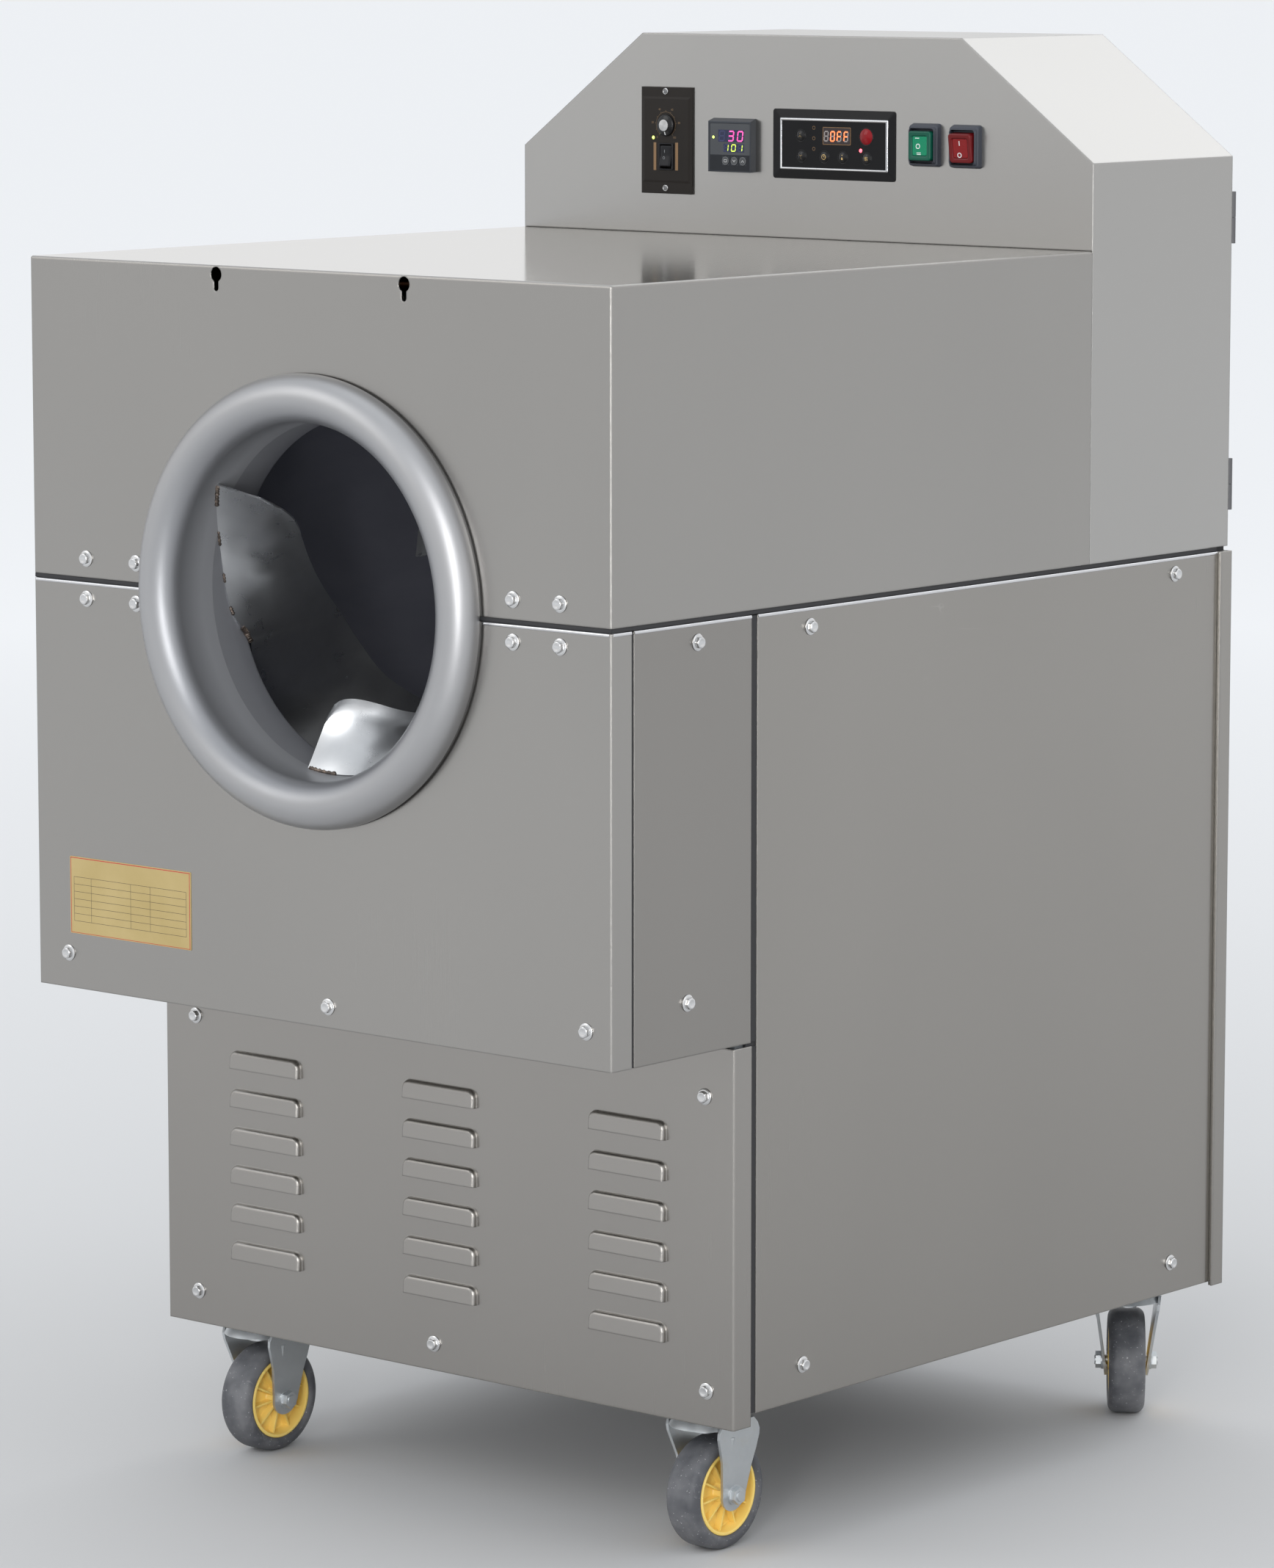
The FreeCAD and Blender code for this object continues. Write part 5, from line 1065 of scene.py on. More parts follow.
# ---------------------------------------------------------------------------
# type plate: blank, with a plain ruled table
# ---------------------------------------------------------------------------
bm = bmesh.new()
X0, X1, Z0, Z1 = -319.0, -157.8, 546.5, 621.0
add_slab(bm, rrect(X0, X1, Z0, Z1, 1.0, 4), fp, 0.0, -0.72, b=0.22, seg=2, mat=0)
yy = -0.70
for (a, b, c, d, m) in ((X0 + 1.0, X1 - 1.0, Z1 - 1.6, Z1 - 0.8, 2), (X1 - 1.8, X1 - 1.0, Z0 + 1.0, Z1 - 1.0, 2),
                        (X0 + 1.0, X0 + 1.7, Z0 + 1.0, Z1 - 1.0, 2), (X0 + 1.0, X1 - 1.0, Z0 + 0.8, Z0 + 1.3, 2)):
    add_bar(bm, a, b, c, d, yy, 0.05, m)
tx0, tx1, tz1 = X0 + 5.5, X1 - 6.0, Z1 - 19.5
rows = 6
for k in range(rows + 1):
    z = tz1 - k * 7.1
    add_bar(bm, tx0, tx1, z - 0.16, z + 0.16, yy, 0.05, 1)
for x in (tx0, tx0 + 23.0, tx0 + 76.0, tx0 + 102.0, tx1):
    add_bar(bm, x - 0.16, x + 0.16, tz1 - rows * 7.1, tz1, yy, 0.052, 1)
plate = obj_from_bm("type_plate", bm, [M["plate"], M["ink"], M["ink_red"]], "chassis", angle=30)
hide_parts("blank_plate")

# ---------------------------------------------------------------------------
# speed controller
# ---------------------------------------------------------------------------
YF = Y_TOW - 3.4
KX, KZ = -169.2, 1300.4
DX, DZL = -169.8, 1301.2          # centre of the printed dial
bm = bmesh.new()
add_ring_mark(bm, DX, DZL, 12.7, 0.3, YF, n=40, a0=-50, a1=230, mat=0)
for k in range(11):
    a = math.radians(230 - 28.0 * k)
    c, s = math.cos(a), math.sin(a)
    o = [(DX + r * c - w * s, DZL + r * s + w * c) for r, w in ((12.6, -0.2), (14.2, -0.2), (14.2, 0.2), (12.6, 0.2))]
    add_flat(bm, o, YF, 0.06, 0)
for k in range(0, 11, 2):
    a = math.radians(230 - 28.0 * k)
    for poly in dial_number(str(10 * k), 3.0):
        add_flat(bm, [(DX + 17.6 * math.cos(a) + p[0], DZL + 17.0 * math.sin(a) + p[1]) for p in poly], YF, 0.05, 0)
for (xa, xb, za, zb) in ((-185.9, -182.4, 1254.9, 1282.9), (-157.3, -153.6, 1255.2, 1283.2)):
    add_slab(bm, rrect(xa, xb, za, zb, 0.3, 2), fp, YF + 0.1, YF - 0.2, b=0.1, seg=1, mat=1)
marks = obj_from_bm("speed_dial_marks", bm, [M["gold_dim"], M["gold_ink"]], "chassis", angle=30)

bm = bmesh.new()
add_ring_frame(bm, rrect(-179.0, -159.2, 1255.5, 1282.4, 1.2, 4), rrect(-176.6, -161.6, 1256.8, 1281.2, 0.6, 4), YF + 0.2, YF - 1.5, b=0.5)
bez = obj_from_bm("speed_rocker_bezel", bm, M["black_satin"], "chassis", angle=40)


def mat_cap():
    """turned cap: brushed round its axis, which gives two bright sectors"""
    t = Nt("knob_cap")
    sep = t.n("ShaderNodeSeparateXYZ")
    t.l(t.obj(), sep.inputs[0])
    dx = t.math("ADD", sep.outputs[0], 0.1692)
    dz = t.math("ADD", sep.outputs[2], -1.3004)
    rr = t.math("SQRT", t.math("ADD", t.math("MULTIPLY", dx, dx), t.math("MULTIPLY", dz, dz)))
    rings = t.math("SINE", t.math("MULTIPLY", rr, 26000.0))
    t.l(t.ramp(rings, [(0.0, 0.48), (1.0, 0.58)]), t.b.inputs["Base Color"])
    t.set(Metallic=1.0, Roughness=0.30, Anisotropic=0.85)
    tg = t.n("ShaderNodeTangent", direction_type="RADIAL", axis="Y")
    t.l(tg.outputs[0], t.b.inputs["Tangent"])
    return t.m


F = frame_y(KX, Y_TOW, KZ, -1.0)
bm = bmesh.new()
seg = 72
skirt = [(0, 3.75), (10.4, 3.75), (10.85, 3.95), (10.95, 4.6), (10.8, 5.3), (10.3, 5.9), (9.6, 6.25), (7.6, 6.85), (6.5, 7.1), (6.15, 7.3), (6.1, 7.6), (0, 7.6)]
add_lathe(bm, skirt, F, seg=seg, mat=0, close=False)
add_lathe(bm, [(5.85, 7.5), (5.85, 8.0), (5.7, 8.2), (5.3, 8.27), (0, 8.27)], F, seg=seg, mat=1, close=False)
merge(bm)
# pointer line on the skirt
vs = []
for dz_ in (0.0, -0.4):
    for (r, z) in ((6.6, 7.22), (9.6, 6.4)):
        for sx in (-0.5, 0.5):
            vs.append(bm.verts.new(F @ Vector((sx + 1.2 * (r / 10), -r, z + dz_))))
for q in ((0, 1, 3, 2), (4, 6, 7, 5), (0, 4, 5, 1), (2, 3, 7, 6), (0, 2, 6, 4), (1, 5, 7, 3)):
    bm.faces.new([vs[i] for i in q]).material_index = 2
add_lathe(bm, [(0, -7.2), (2.7, -7.2), (2.95, -6.9), (2.95, 4.2), (0, 4.2)], F, seg=24, mat=0)
knob = obj_from_bm("speed_knob_turned", bm, [M["black_gloss"], mat_cap(), M["white_ink"]], "knob", angle=30)
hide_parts("speed_knob")


def lamp(name, x, z, y, r, mat, body="chassis", collar=None, h=0.9):
    bm_ = bmesh.new()
    F_ = frame_y(x, y, z, -1.0)
    Rs = (r * r + h * h) / (2 * h)
    am = math.asin(min(1.0, r / Rs))
    pr = [(Rs * math.sin(am * k / 8), h - Rs + Rs * math.cos(am * k / 8)) for k in range(9)]
    add_lathe(bm_, pr + [(r, -0.3), (0, -0.3)], F_, seg=28, mat=0, close=False)
    mats = [mat]
    if collar is not None:
        add_lathe(bm_, [(r + 0.02, -0.2), (r + 0.02, 0.16), (r + 0.14, 0.24), (r + 0.4, 0.24), (r + 0.5, 0.12), (r + 0.5, -0.2)], F_, seg=28, mat=1)
        mats.append(collar)
    merge(bm_)
    o = obj_from_bm(name, bm_, mats, body, angle=50)
    return o


lamp("speed_lamp", -186.2, 1287.8, YF, 1.7, M["led_green"], collar=M["black"])


def rock_place(pivot, tilt):
    """outline (x, z) and depth y in CAD mm, turned about the X axis through pivot (y, z)"""
    c, s = math.cos(math.radians(tilt)), math.sin(math.radians(tilt))

    def f(p, dep):
        dy, dz = dep - pivot[0], p[1] - pivot[1]
        return P(p[0], pivot[0] + dy * c - dz * s, pivot[1] + dy * s + dz * c)
    return f


# rocker of the speed controller: two faces meeting in a shallow valley
def rocker_mesh(bm, xc, zc, yp, depth, hw, hh, tilt, mat=0, valley=1.2, r=0.7, back=2.6):
    """rocker seen from the front: rounded bar with a shallow valley in its face; yp is the pivot's y"""
    pl = rock_place((yp, zc), tilt)
    NZ, NX = 20, 8
    rows = []
    for i in range(NZ + 1):
        v = -1 + 2 * i / NZ
        row = []
        for j in range(NX + 1):
            u = -1 + 2 * j / NX
            uu = hw * math.copysign(min(1.0, abs(u) * 1.02), u)
            e = max(0.0, abs(u) - 0.9) / 0.1
            f_ = max(0.0, abs(v) - 0.93) / 0.07
            y = yp - depth + valley * (1 - abs(v)) ** 1.0 + r * (e * e) + r * (f_ * f_)
            row.append(bm.verts.new(pl((xc + uu, zc + hh * v), y)))
        rows.append(row)
    for a_, b_ in zip(rows[:-1], rows[1:]):
        for j in range(NX):
            bm.faces.new((a_[j], a_[j + 1], b_[j + 1], b_[j])).material_index = mat
    # sides
    rim = rows[0] + [q[-1] for q in rows[1:]] + list(reversed(rows[-1]))[1:] + [q[0] for q in reversed(rows[1:-1])]
    backv = []
    for v_ in rim:
        co = v_.co * 1000.0
        # back outline: pulled in towards the pivot
        x = co.x
        z = co.z
        backv.append(bm.verts.new(pl((x, zc + (z - zc) * 0.62), yp + back)))
    n = len(rim)
    for i in range(n):
        j = (i + 1) % n
        bm.faces.new((rim[i], rim[j], backv[j], backv[i])).material_index = mat
    bm.faces.new(list(reversed(backv))).material_index = mat
    return pl


RKX, RKZ, RKY = -169.1, 1269.0, Y_TOW + 1.0
bm = bmesh.new()
pl = rocker_mesh(bm, RKX, RKZ, RKY, 7.1, 7.15, 10.5, -6.0, valley=1.0)


def face_mark_y(z, zc, hh, yp, depth, valley):
    return yp - depth + valley * (1 - min(1.0, abs(z - zc) / hh))


for (kind, xx, zz) in (("I", -170.0, 1273.6), ("O", -170.6, 1267.0)):
    yb = face_mark_y(zz, RKZ, 10.5, RKY, 7.1, 1.0) + 0.05
    if kind == "I":
        add_flat(bm, [(xx - 0.28, zz - 1.5), (xx + 0.28, zz - 1.5), (xx + 0.28, zz + 1.5), (xx - 0.28, zz + 1.5)], yb, 0.25, 1, place=pl)
    else:
        add_ring_mark(bm, xx, zz, 1.25, 0.4, yb, n=24, proud=0.25, mat=1, place=pl)
srk = obj_from_bm("speed_rocker_cap", bm, [M["black_satin"], M["grey_ink"]], "rocker_speed", angle=35)
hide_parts("speed_rocker")

# ---------------------------------------------------------------------------
# temperature controller
# ---------------------------------------------------------------------------
YT = Y_TOW - 9.0
YW = Y_TOW - 8.4
bm = bmesh.new()
add_slab(bm, rrect(-107.15, -55.65, 1272.75, 1304.15, 0.5, 3), fp, YW + 0.02, YW - 0.5, b=0.3, seg=2, mat=0)
for (xa, xb, za, zb) in ((-107.2, -55.6, 1257.1, 1262.6), (-107.2, -55.6, 1271.4, 1272.4), (-107.2, -91.0, 1262.6, 1271.4),
                         (-82.2, -79.7, 1262.6, 1271.4), (-70.9, -68.6, 1262.6, 1271.4), (-59.8, -55.6, 1262.6, 1271.4)):
    add_bar(bm, xa, xb, za, zb, YT, 0.05, 1)
add_bar(bm, -96.4, -62.8, 1285.9, 1298.0, YW - 0.5, 0.06, 2)
add_bar(bm, -89.4, -62.7, 1275.7, 1284.1, YW - 0.5, 0.06, 2)
tw = obj_from_bm("temperature_window_panel", bm, [M["tc_window"], M["tc_lower"], M["navy"]], "chassis", angle=30)
bm = bmesh.new()
yd = YW - 0.56
add_digit(bm, "8", -91.4, 1291.8, 6.3, 9.5, 1.25, yd, 2, 2, slant=0.12)
add_digit(bm, "3", -79.75, 1291.8, 6.3, 9.5, 1.35, yd, 0, 2, slant=0.12)
add_digit(bm, "0", -67.9, 1291.8, 6.3, 9.5, 1.35, yd, 0, 2, slant=0.12)
add_digit(bm, "1", -86.0, 1280.0, 5.0, 6.4, 1.0, yd, 1, 2, slant=0.12)
add_digit(bm, "0", -76.5, 1280.0, 5.0, 6.4, 1.0, yd, 1, 2, slant=0.12)
add_digit(bm, "1", -67.9, 1280.0, 5.0, 6.4, 1.0, yd, 1, 2, slant=0.12)
dg = obj_from_bm("temperature_digits", bm, [M["magenta"], M["lime"], M["seg_off"]], "chassis", smooth=False)
lamp("temperature_lamp", -102.7, 1290.4, YW - 0.5, 1.35, M["led_green"], h=0.6)
for nm, x, icon in (("set", -86.6, "box"), ("down", -75.3, "v"), ("up", -64.2, "a")):
    bm = bmesh.new()
    z = 1267.0
    y = Y_TOW - 9.6
    add_ring_mark(bm, x, z, 3.85, 0.25, y, n=32, mat=0)
    if icon == "box":
        for (a, b, c, d) in ((-1.9, 1.9, 1.0, 1.3), (-1.9, 1.9, -1.3, -1.0), (-1.9, -1.6, -1.3, 1.3), (1.6, 1.9, -1.3, 1.3)):
            add_bar(bm, x + a, x + b, z + c, z + d, y, 0.05, 1)
    else:
        sg = 1 if icon == "a" else -1
        for s in (-1, 1):
            o = [(x, z + sg * 1.1), (x + s * 1.9, z - sg * 1.1), (x + s * 1.55, z - sg * 1.35), (x, z + sg * 0.65)]
            add_flat(bm, o, y, 0.05, 1)
    ob = obj_from_bm("temperature_icon_" + nm, bm, [M["grey_ink"], M["white_ink"]], "temp_button_" + nm, smooth=False)

# ---------------------------------------------------------------------------
# power controller
# ---------------------------------------------------------------------------
YP = Y_TOW - 2.4
YR = Y_TOW - 1.9
bm = bmesh.new()
# bright frame with a half-round section
NS_ = 10
loops = []
for k in range(NS_ + 1):
    a = math.pi * k / NS_
    f = (1 - math.cos(a)) / 2
    dep = YP + 0.25 - 1.0 * math.sin(a)
    pts = rrect(-21.7 + 2.5 * f, 115.0 - 3.2 * f, 1260.45 + 2.25 * f, 1311.6 - 2.8 * f, 0.9 - 0.5 * f, 3)
    loops.append([bm.verts.new(P(p[0], dep, p[1])) for p in pts])
for A, B in zip(loops[:-1], loops[1:]):
    n = len(A)
    for i in range(n):
        bm.faces.new((A[i], A[(i + 1) % n], B[(i + 1) % n], B[i]))
n = len(loops[0])
for i in range(n):
    bm.faces.new((loops[-1][i], loops[-1][(i + 1) % n], loops[0][(i + 1) % n], loops[0][i]))
trim = obj_from_bm("power_trim", bm, M["chrome"], "chassis", angle=40)

# film for the buttons: one grid-free flat face without holes, with boolean-free rings round the buttons
PB = {"power_button_raise": (4.5, 1294.2, 5.4), "power_button_lower": (5.6, 1273.8, 5.4), "power_button_timer": (34.6, 1273.7, 5.4),
      "power_button_mode": (57.9, 1273.8, 5.4), "power_button_heat": (88.0, 1273.25, 5.4), "power_button_start": (87.2, 1294.8, 7.9)}
bm = bmesh.new()
add_flat(bm, rrect(-18.9, 111.5, 1263.0, 1308.5, 0.4, 3), YR + 0.02, 0.05, 0)
film = obj_from_bm("power_panel_film", bm, M["face_gloss"], "chassis", smooth=False)
bm = bmesh.new()
for nm, (x, z, r) in PB.items():
    add_lathe(bm, [(r + 0.32, -0.3), (r + 0.32, 0.22), (r + 0.5, 0.34), (r + 0.95, 0.30), (r + 1.15, 0.05), (r + 1.15, -0.3)], frame_y(x, YR, z, -1.0), seg=40)
merge(bm)
col = obj_from_bm("power_button_collars", bm, M["black_gloss"], "chassis", angle=45)

bm = bmesh.new()
add_slab(bm, rrect(33.2, 67.2, 1286.6, 1302.6, 0.6, 3), fp, YR + 0.02, YR - 0.35, b=0.2, seg=2, mat=0)
yd = YR - 0.35
add_ring_frame(bm, rrect(32.5, 67.9, 1285.9, 1303.3, 1.0, 3), rrect(33.1, 67.3, 1286.5, 1302.7, 0.6, 3), YR + 0.02, YR - 0.42, b=0.1, seg=1, mat=1)
win = obj_from_bm("power_display", bm, [M["red_window"], M["gold_ink"]], "chassis", angle=30)
bm = bmesh.new()
for ch, x in (("8", 37.0), ("O", 45.0), ("F", 53.3), ("F", 61.9)):
    add_digit(bm, ch, x, 1294.3, 4.7, 9.3, 1.3, yd, 1 if ch == "8" else 0, 1, slant=0.07)
od = obj_from_bm("power_digits", bm, [M["orange"], M["seg_off_grey"]], "chassis", smooth=False)
bm = bmesh.new()
for (x, z) in ((21.0, 1302.2), (21.0, 1291.8), (21.0, 1281.45)):
    add_ring_mark(bm, x, z, 1.6, 0.4, YR, n=24)
rings_ = obj_from_bm("power_lamp_rings", bm, M["gold_ink"], "chassis", smooth=False)
lamp("power_lamp", 80.3, 1281.0, YR, 1.9, M["led_red"])


def dome_y(r, hgt, x, z, px, pz):
    """y of the domed button's skin at (px, pz)"""
    Rs = (r * r + hgt * hgt) / (2 * hgt)
    d2 = (px - x) ** 2 + (pz - z) ** 2
    return (Y_TOW - 2.1) - hgt + Rs - math.sqrt(max(Rs * Rs - d2, 0.0))


def dome_place(x, z, r, hgt):
    return lambda p, dep: P(p[0], dome_y(r, hgt, x, z, p[0], p[1]) + dep, p[1])


def icon_poly(nm, x, z):
    if nm.endswith("raise") or nm.endswith("lower"):
        s = 1 if nm.endswith("raise") else -1
        return [[(x - 2.0, z - s * 1.4), (x, z - s * 0.5), (x, z + s * 2.3)], [(x + 2.0, z - s * 1.4), (x, z - s * 0.5), (x, z + s * 2.3)]]
    return []


for nm, (x, z, r) in PB.items():
    hgt = 1.5 if r < 6 else 2.0
    bm = bmesh.new()
    F = frame_y(x, Y_TOW - 2.1, z, -1.0)
    Rs = (r * r + hgt * hgt) / (2 * hgt)
    am = math.asin(r / Rs)
    pr = [(Rs * math.sin(am * k / 14), hgt - Rs + Rs * math.cos(am * k / 14)) for k in range(15)]
    pr += [(r, -0.4), (r, -4.5), (0, -4.5)]
    add_lathe(bm, pr, F, seg=56, mat=0, close=False)
    merge(bm)
    pl = dome_place(x, z, r, hgt)
    if "raise" in nm or "lower" in nm:
        for o in icon_poly(nm, x, z):
            add_flat(bm, o, 0.04, 0.12, 1, place=pl)
    elif "timer" in nm:
        add_ring_mark(bm, x, z, 2.4, 0.5, 0.04, n=28, proud=0.12, mat=1, place=pl)
        add_flat(bm, [(x - 0.22, z), (x + 0.22, z), (x + 0.22, z + 1.7), (x - 0.22, z + 1.7)], 0.04, 0.12, 1, place=pl)
        add_flat(bm, [(x, z - 0.22), (x + 1.3, z - 0.22), (x + 1.3, z + 0.22), (x, z + 0.22)], 0.04, 0.12, 1, place=pl)
    elif "mode" in nm:
        add_flat(bm, [(x - 0.45, z - 0.6), (x + 0.45, z - 0.6), (x + 0.45, z + 2.4), (x - 0.45, z + 2.4)], 0.04, 0.12, 1, place=pl)
        add_flat(bm, circle(x, z - 1.4, 1.1, 16), 0.04, 0.12, 1, place=pl)
    elif "heat" in nm:
        for k in (-1.4, 0.0, 1.4):
            add_flat(bm, [(x + k - 0.25, z - 1.9), (x + k + 0.25, z - 1.9), (x + k + 0.55, z - 0.6), (x + k + 0.0, z + 0.6), (x + k + 0.35, z + 1.9), (x + k - 0.15, z + 1.9), (x + k - 0.5, z + 0.6), (x + k + 0.05, z - 0.6)], 0.04, 0.12, 1, place=pl)
    ob = obj_from_bm(nm + "_dome", bm, [M["red_dome"] if "start" in nm else M["black_gloss"], M["gold_icon"]], nm, angle=50)
    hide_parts(nm)

# ---------------------------------------------------------------------------
# rubber-booted rocker switches
# ---------------------------------------------------------------------------
def add_band(bm, loops_, mat=0):
    """closed band through outlines of equal length, given as (outline, y)"""
    L_ = [[bm.verts.new(P(p[0], y_, p[1])) for p in o_] for (o_, y_) in loops_]
    n_ = len(L_[0])
    for k in range(len(L_)):
        A_, B_ = L_[k], L_[(k + 1) % len(L_)]
        for i in range(n_):
            j = (i + 1) % n_
            bm.faces.new((A_[i], A_[j], B_[j], B_[i])).material_index = mat


SW = ((160.9, 1288.0, 0.0, "green", "rocker_mode", "mode_rocker"), (210.7, 1287.6, 8.0, "red", "rocker_power", "power_rocker"))
bm = bmesh.new()
for (sx, sz, tilt, colr, body, node) in SW:
    def rr_(hx, za, zb, r, sx=sx, sz=sz):
        return rrect(sx - hx, sx + hx, sz + za, sz + zb, r, 6)
    hole = rr_(14.6, -16.3, 16.3, 2.4)
    add_band(bm, [(rr_(18.2, -20.6, 21.7, 2.8), Y_TOW), (rr_(17.75, -19.6, 20.0, 2.7), Y_TOW - 4.8), (rr_(17.55, -19.3, 19.5, 2.6), Y_TOW - 5.5),
                  (rr_(17.2, -18.9, 19.1, 2.5), Y_TOW - 5.9), (rr_(16.8, -18.4, 18.6, 2.4), Y_TOW - 6.0), (rr_(15.0, -16.9, 16.9, 2.2), Y_TOW - 6.0),
                  (rr_(15.0, -16.9, 16.9, 2.2), Y_TOW)])
    add_ring_frame(bm, rr_(16.55, -17.6, 17.6, 3.2), hole, Y_TOW - 4.5, Y_TOW - 7.6, b=0.7, seg=3)
    add_ring_frame(bm, rr_(16.0, -17.1, 17.1, 3.0), hole, Y_TOW - 7.0, Y_TOW - 9.0, b=0.7, seg=3)
    add_slab(bm, rr_(15.1, -17.0, 17.0, 2.4), fp, Y_TOW, Y_TOW - 1.5, b=0.2, seg=1)
    add_slab(bm, rrect(sx - 11, sx + 11, sz - 14, sz + 14, 1.0, 3), fp, Y_TOW, Y_TOW + 23.8, b=0.6, seg=2)
boots = obj_from_bm("switch_boot_skins", bm, M["boot"], "chassis", angle=40)
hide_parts("switch_boots")

for (sx, sz, tilt, colr, body, node) in SW:
    yp = Y_TOW - 5.0
    pl = rock_place((yp, sz), tilt)
    bm = bmesh.new()
    # soft cover, its face slightly dished along z
    def dish(p, dep, sz=sz, pl=pl):
        v = (p[1] - sz) / 14.6
        k = max(0.0, min(1.0, (Y_TOW - 7.5 - dep) / 4.5))
        return pl(p, dep + 0.8 * k * (1 - v * v))
    add_slab(bm, rrect(sx - 13.9, sx + 13.9, sz - 14.4, sz + 14.4, 3.6, 8), pl, Y_TOW - 3.4, Y_TOW - 8.5, b=0.1, seg=1, mat=0)
    o_out = rrect(sx - 13.9, sx + 13.9, sz - 14.4, sz + 14.4, 3.6, 8)
    o_in = rrect(sx - 8.8, sx + 8.8, sz - 9.3, sz + 9.3, 1.6, 8)
    add_ring_frame(bm, o_out, o_in, Y_TOW - 8.1, Y_TOW - 12.7, b=1.7, seg=5, mat=0, place=dish)
    # lit key inside the cover
    add_slab(bm, rrect(sx - 8.85, sx + 8.85, sz - 9.35, sz + 9.35, 1.6, 8), dish, Y_TOW - 8.1, Y_TOW - 12.0, b=0.5, seg=3, mat=1)
    zm = Y_TOW - 11.3
    if colr == "green":
        add_flat(bm, [(158.2 - 2.5, 1295.2), (158.2 + 2.5, 1295.2), (158.2 + 2.5, 1295.9), (158.2 - 2.5, 1295.9)], zm, 0.5, 2, place=pl)
        add_ring_mark(bm, 159.2, 1287.6, 2.2, 0.75, zm, n=32, proud=0.5, mat=2, place=pl)
        for (mx, mz) in ((160.2, 1281.2), (160.4, 1279.7)):
            add_flat(bm, [(mx - 2.5, mz - 0.35), (mx + 2.5, mz - 0.35), (mx + 2.5, mz + 0.35), (mx - 2.5, mz + 0.35)], zm, 0.5, 2, place=pl)
    else:
        add_flat(bm, [(210.3 - 0.4, 1290.4), (210.3 + 0.4, 1290.4), (210.3 + 0.4, 1295.0), (210.3 - 0.4, 1295.0)], zm, 0.5, 2, place=pl)
        add_ring_mark(bm, 209.6, 1281.0, 2.15, 0.75, zm, n=32, proud=0.5, mat=2, place=pl)
    ob = obj_from_bm(node + "_cover", bm, [M[colr + "_boot"], M[colr + "_lens"], M["white_ink"]], body, angle=35)
    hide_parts(node)

# ---------------------------------------------------------------------------
# casters
# ---------------------------------------------------------------------------
CASTERS = {
    "front_left": (-288.0, 221.0, 0.0, 14.0), "front_right": (288.0, 221.0, 0.0, 14.0),
    "rear_left": (-282.0, 898.0, -25.0, 16.0), "rear_right": (282.0, 898.0, 37.6, 16.0)}
RW = 53.5
for ci, (nm, (x, y, a, e)) in enumerate(CASTERS.items()):
    ar = math.radians(a)
    cxw, cyw = x - e * math.sin(ar), y + e * math.cos(ar)
    ax = Vector((math.cos(ar), math.sin(ar), 0))
    yv = Vector((-math.sin(ar), math.cos(ar), 0))
    # local z = wheel axis, local x = up, local y = sideways
    F = Matrix(((0, yv.x, ax.x, 0), (0, yv.y, ax.y, 0), (1, 0, 0, 0), (0, 0, 0, 1)))
    Fw = Matrix.Translation(P(cxw, cyw, RW)) @ (F @ Matrix.Scale(0.001, 4))
    bm = bmesh.new()
    w2, rq = 18.6, 9.0
    pr = [(40.0, -15.6), (40.6, -16.7), (42.2, -17.7), (43.5, -w2 + 0.1)]
    pr += [(RW - rq + rq * math.sin(math.radians(t)) - 0.01, -w2 + rq - rq * math.cos(math.radians(t))) for t in range(0, 91, 10)]
    pr += [(RW, -4), (RW, 0), (RW, 4)]
    pr += [(RW - rq + rq * math.sin(math.radians(t)) - 0.01, w2 - rq + rq * math.cos(math.radians(t))) for t in range(90, -1, -10)]
    pr += [(43.5, w2 - 0.1), (42.2, 17.7), (40.6, 16.7), (40.0, 15.6)]
    add_lathe(bm, pr, Fw, seg=128)
    ty = obj_from_bm("tyre_" + nm, bm, M["tyre"], "caster_wheel_" + nm, angle=50)
    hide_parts("caster_wheel_" + nm)
    bm = bmesh.new()
    side = [(5.1, 18.7), (9.6, 18.7), (10.5, 18.0), (11.4, 8.5), (12.5, 7.2), (33.2, 4.4), (34.6, 5.2), (36.0, 13.2), (36.4, 16.0), (36.9, 16.9), (38.0, 17.2), (39.3, 16.9), (39.98, 16.2)]
    add_lathe(bm, side + [(r, -z) for r, z in reversed(side)], Fw, seg=96)
    for k in range(10):
        R = Matrix.Rotation(math.radians(36 * k + 9), 4, "Z")
        for s in (-1, 1):
            vs = []
            for (r, z, t) in ((11.0, 5.0, 1.3), (35.2, 3.5, 1.3), (35.9, 11.5, 0.95), (20.0, 13.5, 0.95), (10.9, 14.8, 0.95)):
                vs.append([bm.verts.new(Fw @ (R @ Vector((r, q * t, s * z)))) for q in (-1, 1)])
            nn = len(vs)
            bm.faces.new([v_[0] for v_ in vs])
            bm.faces.new([v_[1] for v_ in reversed(vs)])
            for i in range(nn):
                j = (i + 1) % nn
                bm.faces.new((vs[i][0], vs[i][1], vs[j][1], vs[j][0]))
    hb = obj_from_bm("hub_" + nm, bm, M["hub"], "caster_wheel_" + nm, angle=35)

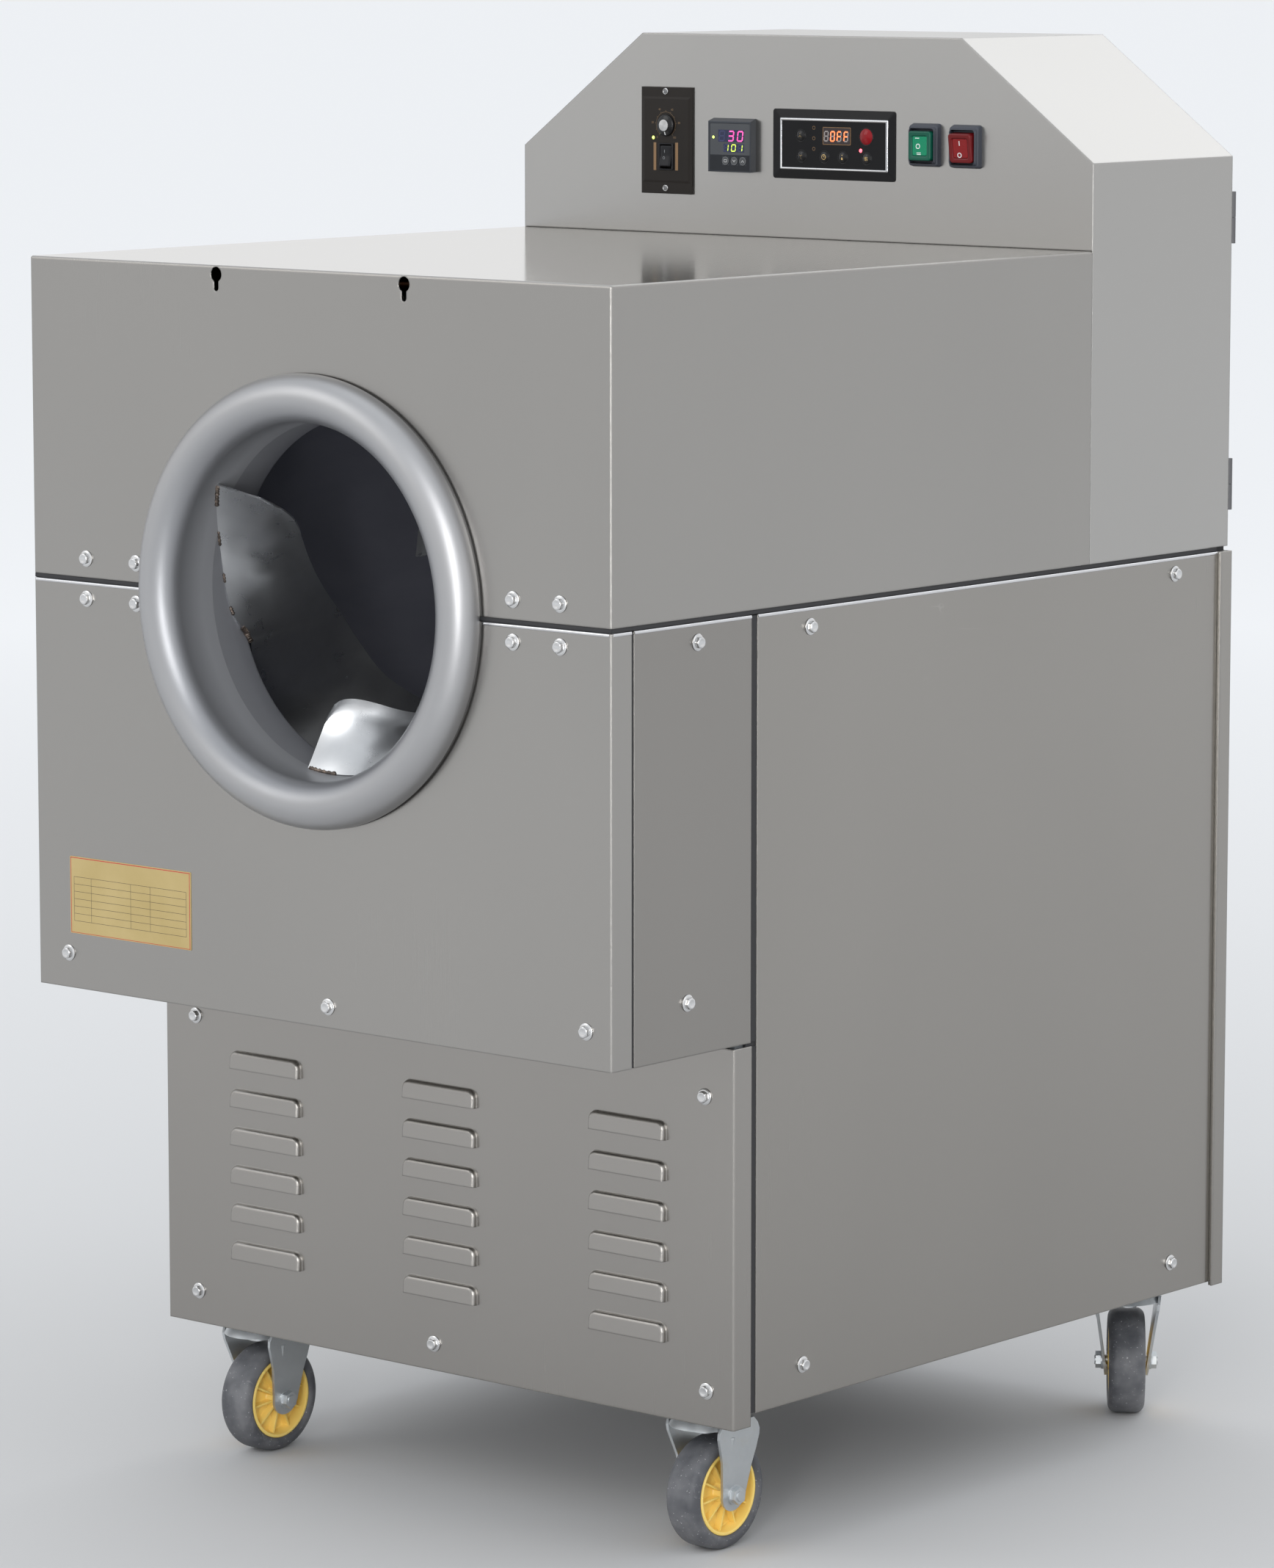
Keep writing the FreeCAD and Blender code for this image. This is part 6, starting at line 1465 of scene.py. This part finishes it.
# small pressed gussets under the crown of the forks
for nm, (x, y, a, e) in CASTERS.items():
    Ff = Matrix.Rotation(math.radians(a), 4, "Z")
    bm = bmesh.new()
    for sd in (-1, 1):
        rows_ = []
        NZ, NY = 9, 8
        for k in range(NZ + 1):
            q = 0.12 + 0.88 * k / NZ
            z = 98.5 + 13.0 * q
            xs = 33.0 - (118.0 - z) * math.tan(math.radians(7.94))
            hgt = 1.5 * q ** 0.8 * (1.0 if k < NZ else 0.55)
            wd = 3.7 * q
            yc = 2.5 - 1.0 * q
            row = [Vector((sd * (xs - 0.5), yc + wd, z)), Vector((sd * (xs - 0.5), yc - wd, z))]
            for j in range(NY + 1):
                t_ = -1 + 2.0 * j / NY
                row.append(Vector((sd * (xs - 0.1 + (hgt + 0.1) * (0.5 + 0.5 * math.cos(math.pi * t_))), yc + wd * t_, z)))
            rows_.append([bm.verts.new(P(*(Ff @ v_ + Vector((x, y, 0))))) for v_ in row])
        n_ = len(rows_[0])
        for A_, B_ in zip(rows_[:-1], rows_[1:]):
            for i in range(n_):
                j = (i + 1) % n_
                bm.faces.new((A_[i], A_[j], B_[j], B_[i]))
        bm.faces.new(rows_[0])
        bm.faces.new(list(reversed(rows_[-1])))
    gs = obj_from_bm("fork_gussets_" + nm, bm, M["galv"], "caster_fork_" + nm, angle=60)

# ---------------------------------------------------------------------------
# floor, light, camera
# ---------------------------------------------------------------------------
def stage_floor():
    bm_ = bmesh.new()
    # large round floor disc
    rows_ = []
    for rad in (0.0, 3.0, 8.0, 20.0, 60.0, 160.0):
        if rad == 0.0:
            rows_.append([bm_.verts.new(Vector((0, 0, 0)))])
        else:
            rows_.append([bm_.verts.new(Vector((rad * math.cos(2 * math.pi * i / 48), rad * math.sin(2 * math.pi * i / 48), 0))) for i in range(48)])
    for A_, B_ in zip(rows_[:-1], rows_[1:]):
        for i in range(48):
            j = (i + 1) % 48
            if len(A_) == 1:
                bm_.faces.new((A_[0], B_[i], B_[j]))
            else:
                bm_.faces.new((A_[i], B_[i], B_[j], A_[j]))
    me = bpy.data.meshes.new("floor")
    bmesh.ops.recalc_face_normals(bm_, faces=bm_.faces)
    bm_.to_mesh(me)
    bm_.free()
    me.polygons.foreach_set("use_smooth", [True] * len(me.polygons))
    t = Nt("floor_paper_painted_shadow")
    c = t.noise(t.obj((0.8, 0.8, 0.8)), 1.0, 2.0)
    vl = t.n("ShaderNodeVectorMath", operation="LENGTH")
    t.l(t.obj(), vl.inputs[0])
    # painted shadow: the floor is darker round the machine and pales to 0.90 between about 0.8 m and 7 m out
    shadow_fade = t.ramp(t.math("MULTIPLY", vl.outputs[1], 0.125), [(0.10, 0.0), (0.9, 1.0)])
    floor_shadow_colour = t.mix(c, (0.56, 0.56, 0.56), (0.58, 0.58, 0.58))
    t.l(t.mix(shadow_fade, floor_shadow_colour, (0.90, 0.90, 0.90)), t.b.inputs["Base Color"])
    t.set(Roughness=0.9)
    me.materials.append(t.m)
    ob_ = bpy.data.objects.new("floor", me)
    COL.objects.link(ob_)


stage_floor()


def area(name, loc, target, size, power, color=(1, 1, 1), size_y=None, spread=180):
    li = bpy.data.lights.new(name, "AREA")
    li.shape = "RECTANGLE"
    li.size = size
    li.size_y = size_y or size
    li.energy = power
    li.color = color
    li.spread = math.radians(spread)
    ob_ = bpy.data.objects.new(name, li)
    ob_.location = loc
    ob_.rotation_euler = (Vector(target) - Vector(loc)).to_track_quat("-Z", "Y").to_euler()
    COL.objects.link(ob_)
    return ob_


area("key_front_left", (-3.2, -4.2, 3.6), (0, 0, 0.7), 2.6, 30, (1.0, 0.985, 0.96))
area("top_sky", (-0.6, 0.6, 4.6), (0, 0.1, 0.8), 4.0, 20, (0.92, 0.96, 1.0))
area("fill_right", (4.6, 0.4, 2.2), (0, 0, 0.7), 2.4, 8, (1.0, 0.98, 0.95))
area("back_high", (0.2, 4.4, 4.2), (0, 0.2, 1.0), 3.0, 26, (1, 1, 1))
area("bend_strip", (3.1, -5.3, 1.1), (0.3, -0.4, 0.7), 0.5, 60, (1, 1, 1), size_y=2.1)
area("mouth_light", (3.2, -4.8, 3.0), (0, -0.3, 0.85), 2.4, 72, (1, 1, 1))

w = bpy.data.worlds.new("studio")
bpy.context.scene.world = w
w.use_nodes = True
wt = w.node_tree
wt.nodes.clear()
wo = wt.nodes.new("ShaderNodeOutputWorld")
wb = wt.nodes.new("ShaderNodeBackground")
wc = wt.nodes.new("ShaderNodeTexCoord")
ws = wt.nodes.new("ShaderNodeSeparateXYZ")
wr = wt.nodes.new("ShaderNodeValToRGB")
wm = wt.nodes.new("ShaderNodeMath")
wm.operation = "MULTIPLY_ADD"
wm.inputs[1].default_value = 0.5
wm.inputs[2].default_value = 0.5
wt.links.new(wc.outputs["Generated"], ws.inputs[0])
wt.links.new(ws.outputs[2], wm.inputs[0])
wt.links.new(wm.outputs[0], wr.inputs[0])
el = wr.color_ramp.elements
el[0].position, el[0].color = 0.0, (0.80, 0.80, 0.80, 1)
el[1].position, el[1].color = 0.50, (0.86, 0.865, 0.87, 1)
e2 = el.new(0.54); e2.color = (1.0, 1.0, 1.0, 1)
e3 = el.new(0.75); e3.color = (0.93, 0.96, 1.0, 1)
wt.links.new(wr.outputs[0], wb.inputs[0])
wb.inputs[1].default_value = 1.0
wt.links.new(wb.outputs[0], wo.inputs[0])

cam_d = bpy.data.cameras.new("camera")
cam_d.sensor_fit = "VERTICAL"
cam_d.sensor_height = 36.0
cam_d.sensor_width = 36.0 * 1736 / 2136
cam_d.lens = 8404.13 * 36.0 / 2136.0
cam_d.clip_start = 0.1
cam_d.clip_end = 100
cam_d.dof.use_dof = False
cam = bpy.data.objects.new("camera", cam_d)
back = Vector((0.64138, -0.75419, 0.14077)).normalized()
cam.location = (3.87145, -4.56081, 1.5192)
cam.rotation_euler = back.to_track_quat("Z", "Y").to_euler()
COL.objects.link(cam)
bpy.context.scene.camera = cam
bpy.context.scene.view_settings.view_transform = "Standard"
bpy.context.scene.view_settings.look = "None"
